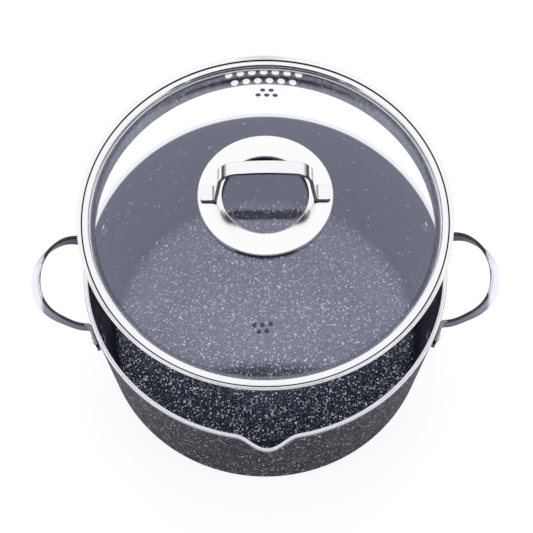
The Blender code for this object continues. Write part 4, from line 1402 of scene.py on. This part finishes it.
def make_lid_handle():
    """The strap handle: two feet on the rosette, legs, and a slightly crowned grip."""
    foot_plane = rosette_top() + GAP + LID_HANDLE_THICKNESS / 2
    path = lid_handle_path()
    lengths = path_lengths(path)
    whole = lengths[-1]
    stations = []
    for (x, z), length, heading in zip(path, lengths, path_directions(path)):
        from_tip = min(length, whole - length)
        past_foot = from_tip - LID_HANDLE_FOOT_LENGTH
        blend = smooth_step(past_foot / LID_HANDLE_SHOULDER_HEIGHT)
        width = LID_HANDLE_FOOT_WIDTH + (LID_HANDLE_TOP_WIDTH - LID_HANDLE_FOOT_WIDTH) * blend
        half = rounded_tip(from_tip, width / 2, LID_FOOT_CORNER)
        through = Vector((heading.y, 0, -heading.x))
        center = Vector((x, 0, foot_plane + z))
        stations.append((center, Vector((0, 1, 0)), through, 2 * half, LID_HANDLE_THICKNESS))
    bm = strap(stations)
    for face in bm.faces:
        # Faces under the handle get the painted shade
        if face.normal.z < UNDER_FACING:
            face.material_index = UNDER_FACES
        # Faces toward the front get the painted dark reflection
        elif face.normal.y < FRONT_FACING:
            face.material_index = EDGE_FACES
    handle = lid_piece("lid_grip", bm)
    dress(handle, POLISHED_STEEL, EDGE_STEEL, UNDER_PAINTED_SHADE)
    drill(handle, screw_holes())
    finish_piece(handle, "lid", "polished_steel", ["lid_handle"])


def collar_under():
    """Flat underside of a grommet's collar."""
    return glass_under(SCREW_OFFSET + GROMMET_COLLAR) - GAP - GROMMET_COLLAR_THICKNESS


def make_grommet(side):
    """A grommet: a sleeve in the glass hole and a collar that follows the glass."""
    bore = screw_hole_radius()
    sleeve = bore + GROMMET_WALL
    sleeve_top = glass_top(SCREW_OFFSET + sleeve)
    collar_top = glass_under(SCREW_OFFSET)
    profile = [(sleeve, sleeve_top)]
    profile += ring_band(sleeve, GROMMET_COLLAR, lambda r: collar_top, count=6)
    profile += [(GROMMET_COLLAR, collar_under()), (bore, collar_under()), (bore, sleeve_top)]
    bm = spun(profile, SMALL_STEPS)
    for vert in bm.verts:
        if math.isclose(vert.co.z, collar_top, abs_tol=SAME_PLACE):
            vert.co.z = glass_under(math.hypot(vert.co.x + side * SCREW_OFFSET, vert.co.y)) - GAP
    name = "grommet_" + side_name(side)
    grommet = lid_piece(name + "_sleeve", bm, side * SCREW_OFFSET)
    finish_piece(grommet, "lid", "dark_silicone", [name], DARK_SILICONE)


def make_washer(side):
    """A flat steel washer under a grommet."""
    top = collar_under() - GAP
    under = top - WASHER_THICKNESS
    inner = screw_hole_radius()
    outline = rounded([
        (WASHER_RADIUS, top, FINE_ROUNDING), (WASHER_RADIUS, under, FINE_ROUNDING),
        (inner, under, HAIR_ROUNDING), (inner, top, HAIR_ROUNDING)])
    bm = spun(outline, SMALL_STEPS)
    name = "washer_" + side_name(side)
    washer = lid_piece(name + "_ring", bm, side * SCREW_OFFSET)
    finish_piece(washer, "lid", "satin_steel", [name], SATIN_STEEL)


def make_screw(side):
    """A pan-head screw with a cross recess, from below up into the handle's foot."""
    head_top = collar_under() - GAP - WASHER_THICKNESS - GAP
    head = dome(SCREW_HEAD, SCREW_HEAD_HEIGHT, 0.0, count=12)
    profile = [(0.0, screw_tip()), (SCREW_SHANK, screw_tip()), (SCREW_SHANK, head_top)]
    profile += [(r, head_top - z) for r, z in reversed(head)]
    bm = spun(profile, SMALL_STEPS, closed=False)
    name = "lid_screw_" + side_name(side)
    screw = lid_piece(name + "_body", bm, side * SCREW_OFFSET)
    bottom = SEAT_HEIGHT + head_top - SCREW_HEAD_HEIGHT
    place = Matrix.Translation((side * SCREW_OFFSET, 0, bottom))
    for turn in (0, math.pi / 2):
        cutters = bmesh.new()
        scale = Matrix.Diagonal((CROSS_LENGTH, CROSS_WIDTH, 2 * CROSS_DEPTH, 1))
        matrix = place @ Matrix.Rotation(turn + CROSS_TURN, 4, "Z") @ scale
        bmesh.ops.create_cube(cutters, size=1.0, matrix=matrix)
        drill(screw, cutters)
    finish_piece(screw, "lid", "satin_steel", [name], SATIN_STEEL)


# Floor, light and camera

FLOOR_HALF_SIZE = 4.0
FLOOR_DROP = 0.0002
FLOOR_GLOW = 0.90
FLOOR_TINT = (0.97, 0.97, 1.0, 1.0)
FLOOR_SEEN = (0.17, 0.17, 0.17, 1.0)
FLOOR_SHADE = 0.22
FLOOR_SHADE_START = 0.19
FLOOR_SHADE_END = 0.90
FLOOR_SHADE_SQUEEZE = 2.2
# Painted darkness of the floor far off, seen only in reflections
FLOOR_PAINTED_DARK_START = 0.8
FLOOR_PAINTED_DARK_END = 1.6
FLOOR_PALE = (0.80, 0.80, 0.80, 1.0)
WORLD_LIGHT = 0.56
HORIZON_TOP = 0.10
SKY_START = 0.42
REAR_EDGE = 0.35
REAR_CORE = 0.75
FRONT_EDGE = -0.54
FRONT_CORE = -0.62
REAR_STRIP_LOW = 0.02
REAR_STRIP_HIGH = 0.09
STUDIO_DARK = (0.030, 0.030, 0.045, 1.0)
LAMP_AIM = 0.12


def reflected_ray(tree, light):
    """One for rays that left polished metal or glass as a reflection, also behind glass."""
    reflected = math_node(tree, "GREATER_THAN", light["Glossy Depth"], 0.5)
    return product(tree, reflected, light["Is Glossy Ray"])


def make_floor():
    """A pale floor that shows white and keeps a soft shadow."""
    bm = bmesh.new()
    bmesh.ops.create_grid(bm, x_segments=1, y_segments=1, size=FLOOR_HALF_SIZE)
    bmesh.ops.translate(bm, verts=bm.verts, vec=(0, 0, -FLOOR_DROP))
    floor = add_object("studio_floor", mesh_of(bm, "studio_floor"))
    material, tree, shader = new_material("pale_floor")
    tree.nodes.remove(shader)
    light = tree.nodes.new("ShaderNodeLightPath").outputs
    seen = math_node(tree, "MAXIMUM", light["Is Camera Ray"], light["Is Glossy Ray"])
    seen = math_node(tree, "MAXIMUM", seen, light["Is Transmission Ray"])
    place = object_place(tree)
    # Seen in reflections, the floor gets a painted shadow near the pot and a painted darkness far
    # off
    reach = origin_distance(tree, place, (1.0, 1.0, 1.0))
    aside = origin_distance(tree, place, (FLOOR_SHADE_SQUEEZE, 1.0, 1.0))
    near = ease(tree, aside, FLOOR_SHADE_START, FLOOR_SHADE_END, FLOOR_SHADE, 1.0)
    far = ease(tree, reach, FLOOR_PAINTED_DARK_START, FLOOR_PAINTED_DARK_END, 1.0, 0.0)
    dark = math_node(tree, "SUBTRACT", 1.0, product(tree, near, far))
    dark = product(tree, dark, reflected_ray(tree, light))
    strength = map_range(tree, dark, 0.0, 1.0, FLOOR_GLOW, 0.0)
    lighting = add_node(tree, "ShaderNodeBsdfDiffuse", {"Color": FLOOR_PALE})
    shown = add_node(tree, "ShaderNodeBsdfDiffuse", {"Color": FLOOR_SEEN})
    glow = add_node(tree, "ShaderNodeEmission", {"Color": FLOOR_TINT, "Strength": strength})
    both = add_node(tree, "ShaderNodeAddShader", {0: shown.outputs[0], 1: glow.outputs[0]})
    surface = mix_shader(tree, seen, lighting.outputs[0], both.outputs[0])
    set_inputs(tree, tree.nodes["Material Output"], {"Surface": surface})
    dress(floor, material)


def make_world():
    """Soft light all round, and for metal a bright top and rear but a dark front and low sides."""
    world = bpy.data.worlds.new("studio")
    bpy.context.scene.world = world
    world.use_nodes = True
    tree = world.node_tree
    tree.nodes.clear()
    light = tree.nodes.new("ShaderNodeLightPath").outputs
    seen = math_node(tree, "MAXIMUM", light["Is Camera Ray"], light["Is Transmission Ray"])
    heading = tree.nodes.new("ShaderNodeTexCoord").outputs["Generated"]
    rear = coordinate(tree, heading, "Y")
    height = coordinate(tree, heading, "Z")
    low = ease(tree, height, HORIZON_TOP, SKY_START, 1.0, 0.0)
    aside = ease(tree, rear, REAR_EDGE, REAR_CORE, 1.0, 0.0)
    thin = ease(tree, height, REAR_STRIP_LOW, REAR_STRIP_HIGH, 1.0, 0.0)
    strip = math_node(tree, "MAXIMUM", product(tree, low, aside), thin)
    dark = math_node(tree, "MAXIMUM", strip, ease(tree, rear, FRONT_EDGE, FRONT_CORE))
    card = mix_color(tree, dark, WHITE, STUDIO_DARK)
    soft = add_node(tree, "ShaderNodeBackground", {"Color": WHITE, "Strength": WORLD_LIGHT})
    gloss = add_node(tree, "ShaderNodeBackground", {"Color": card, "Strength": 1.0})
    white = add_node(tree, "ShaderNodeBackground", {"Color": WHITE, "Strength": 1.0})
    first = mix_shader(tree, seen, soft.outputs[0], white.outputs[0])
    both = mix_shader(tree, reflected_ray(tree, light), first, gloss.outputs[0])
    output = tree.nodes.new("ShaderNodeOutputWorld")
    set_inputs(tree, output, {"Surface": both})


def add_lamp(name, place, size, power):
    """A soft square lamp that faces the pot."""
    data = bpy.data.lights.new(name, "AREA")
    data.size = size
    data.energy = power
    lamp = add_object(name, data)
    lamp.visible_glossy = False
    lamp.visible_transmission = False
    lamp.location = place
    toward = Vector((0, 0, LAMP_AIM)) - Vector(place)
    lamp.rotation_euler = toward.to_track_quat("-Z", "Y").to_euler()


def make_camera():
    """The camera at the photo's viewing angle."""
    right = Vector((*polar(1, CAMERA_AZIMUTH), 0))
    level = Vector((right.y, -right.x, 0)) * math.cos(CAMERA_ELEVATION)
    back = level + Vector((0, 0, math.sin(CAMERA_ELEVATION)))
    up = back.cross(right)
    per_pixel = CAMERA_DISTANCE / CAMERA_FOCUS_PIXELS
    middle = FRAME_PIXELS / 2
    target = Vector((0, 0, POT_HEIGHT))
    target += up * (RIM_PIXEL[1] - middle) * per_pixel
    target += right * (middle - RIM_PIXEL[0]) * per_pixel
    data = bpy.data.cameras.new("camera")
    data.sensor_width = SENSOR_MM
    data.lens = CAMERA_FOCUS_PIXELS * SENSOR_MM / FRAME_PIXELS
    data.clip_start = CAMERA_CLIP
    camera = add_object("camera", data)
    camera.location = target + back * CAMERA_DISTANCE
    camera.rotation_euler = (-back).to_track_quat("-Z", "Y").to_euler()
    bpy.context.scene.camera = camera


make_pot()
make_base_disc()
for side in SIDES:
    make_side_handle(side)
make_glass()
make_printed_marks()
make_band()
make_skirt()
make_gasket()
make_rosette()
make_lid_handle()
for side in SIDES:
    make_grommet(side)
    make_washer(side)
    make_screw(side)

make_floor()
make_world()
add_lamp("lamp_rear", (0.0, 1.3, 2.2), 2.0, 36.0)
add_lamp("lamp_left", (-1.6, -0.6, 1.5), 1.4, 10.0)
add_lamp("lamp_right", (1.6, -0.6, 1.5), 1.4, 10.0)
make_camera()
bpy.context.scene.view_settings.view_transform = "Standard"
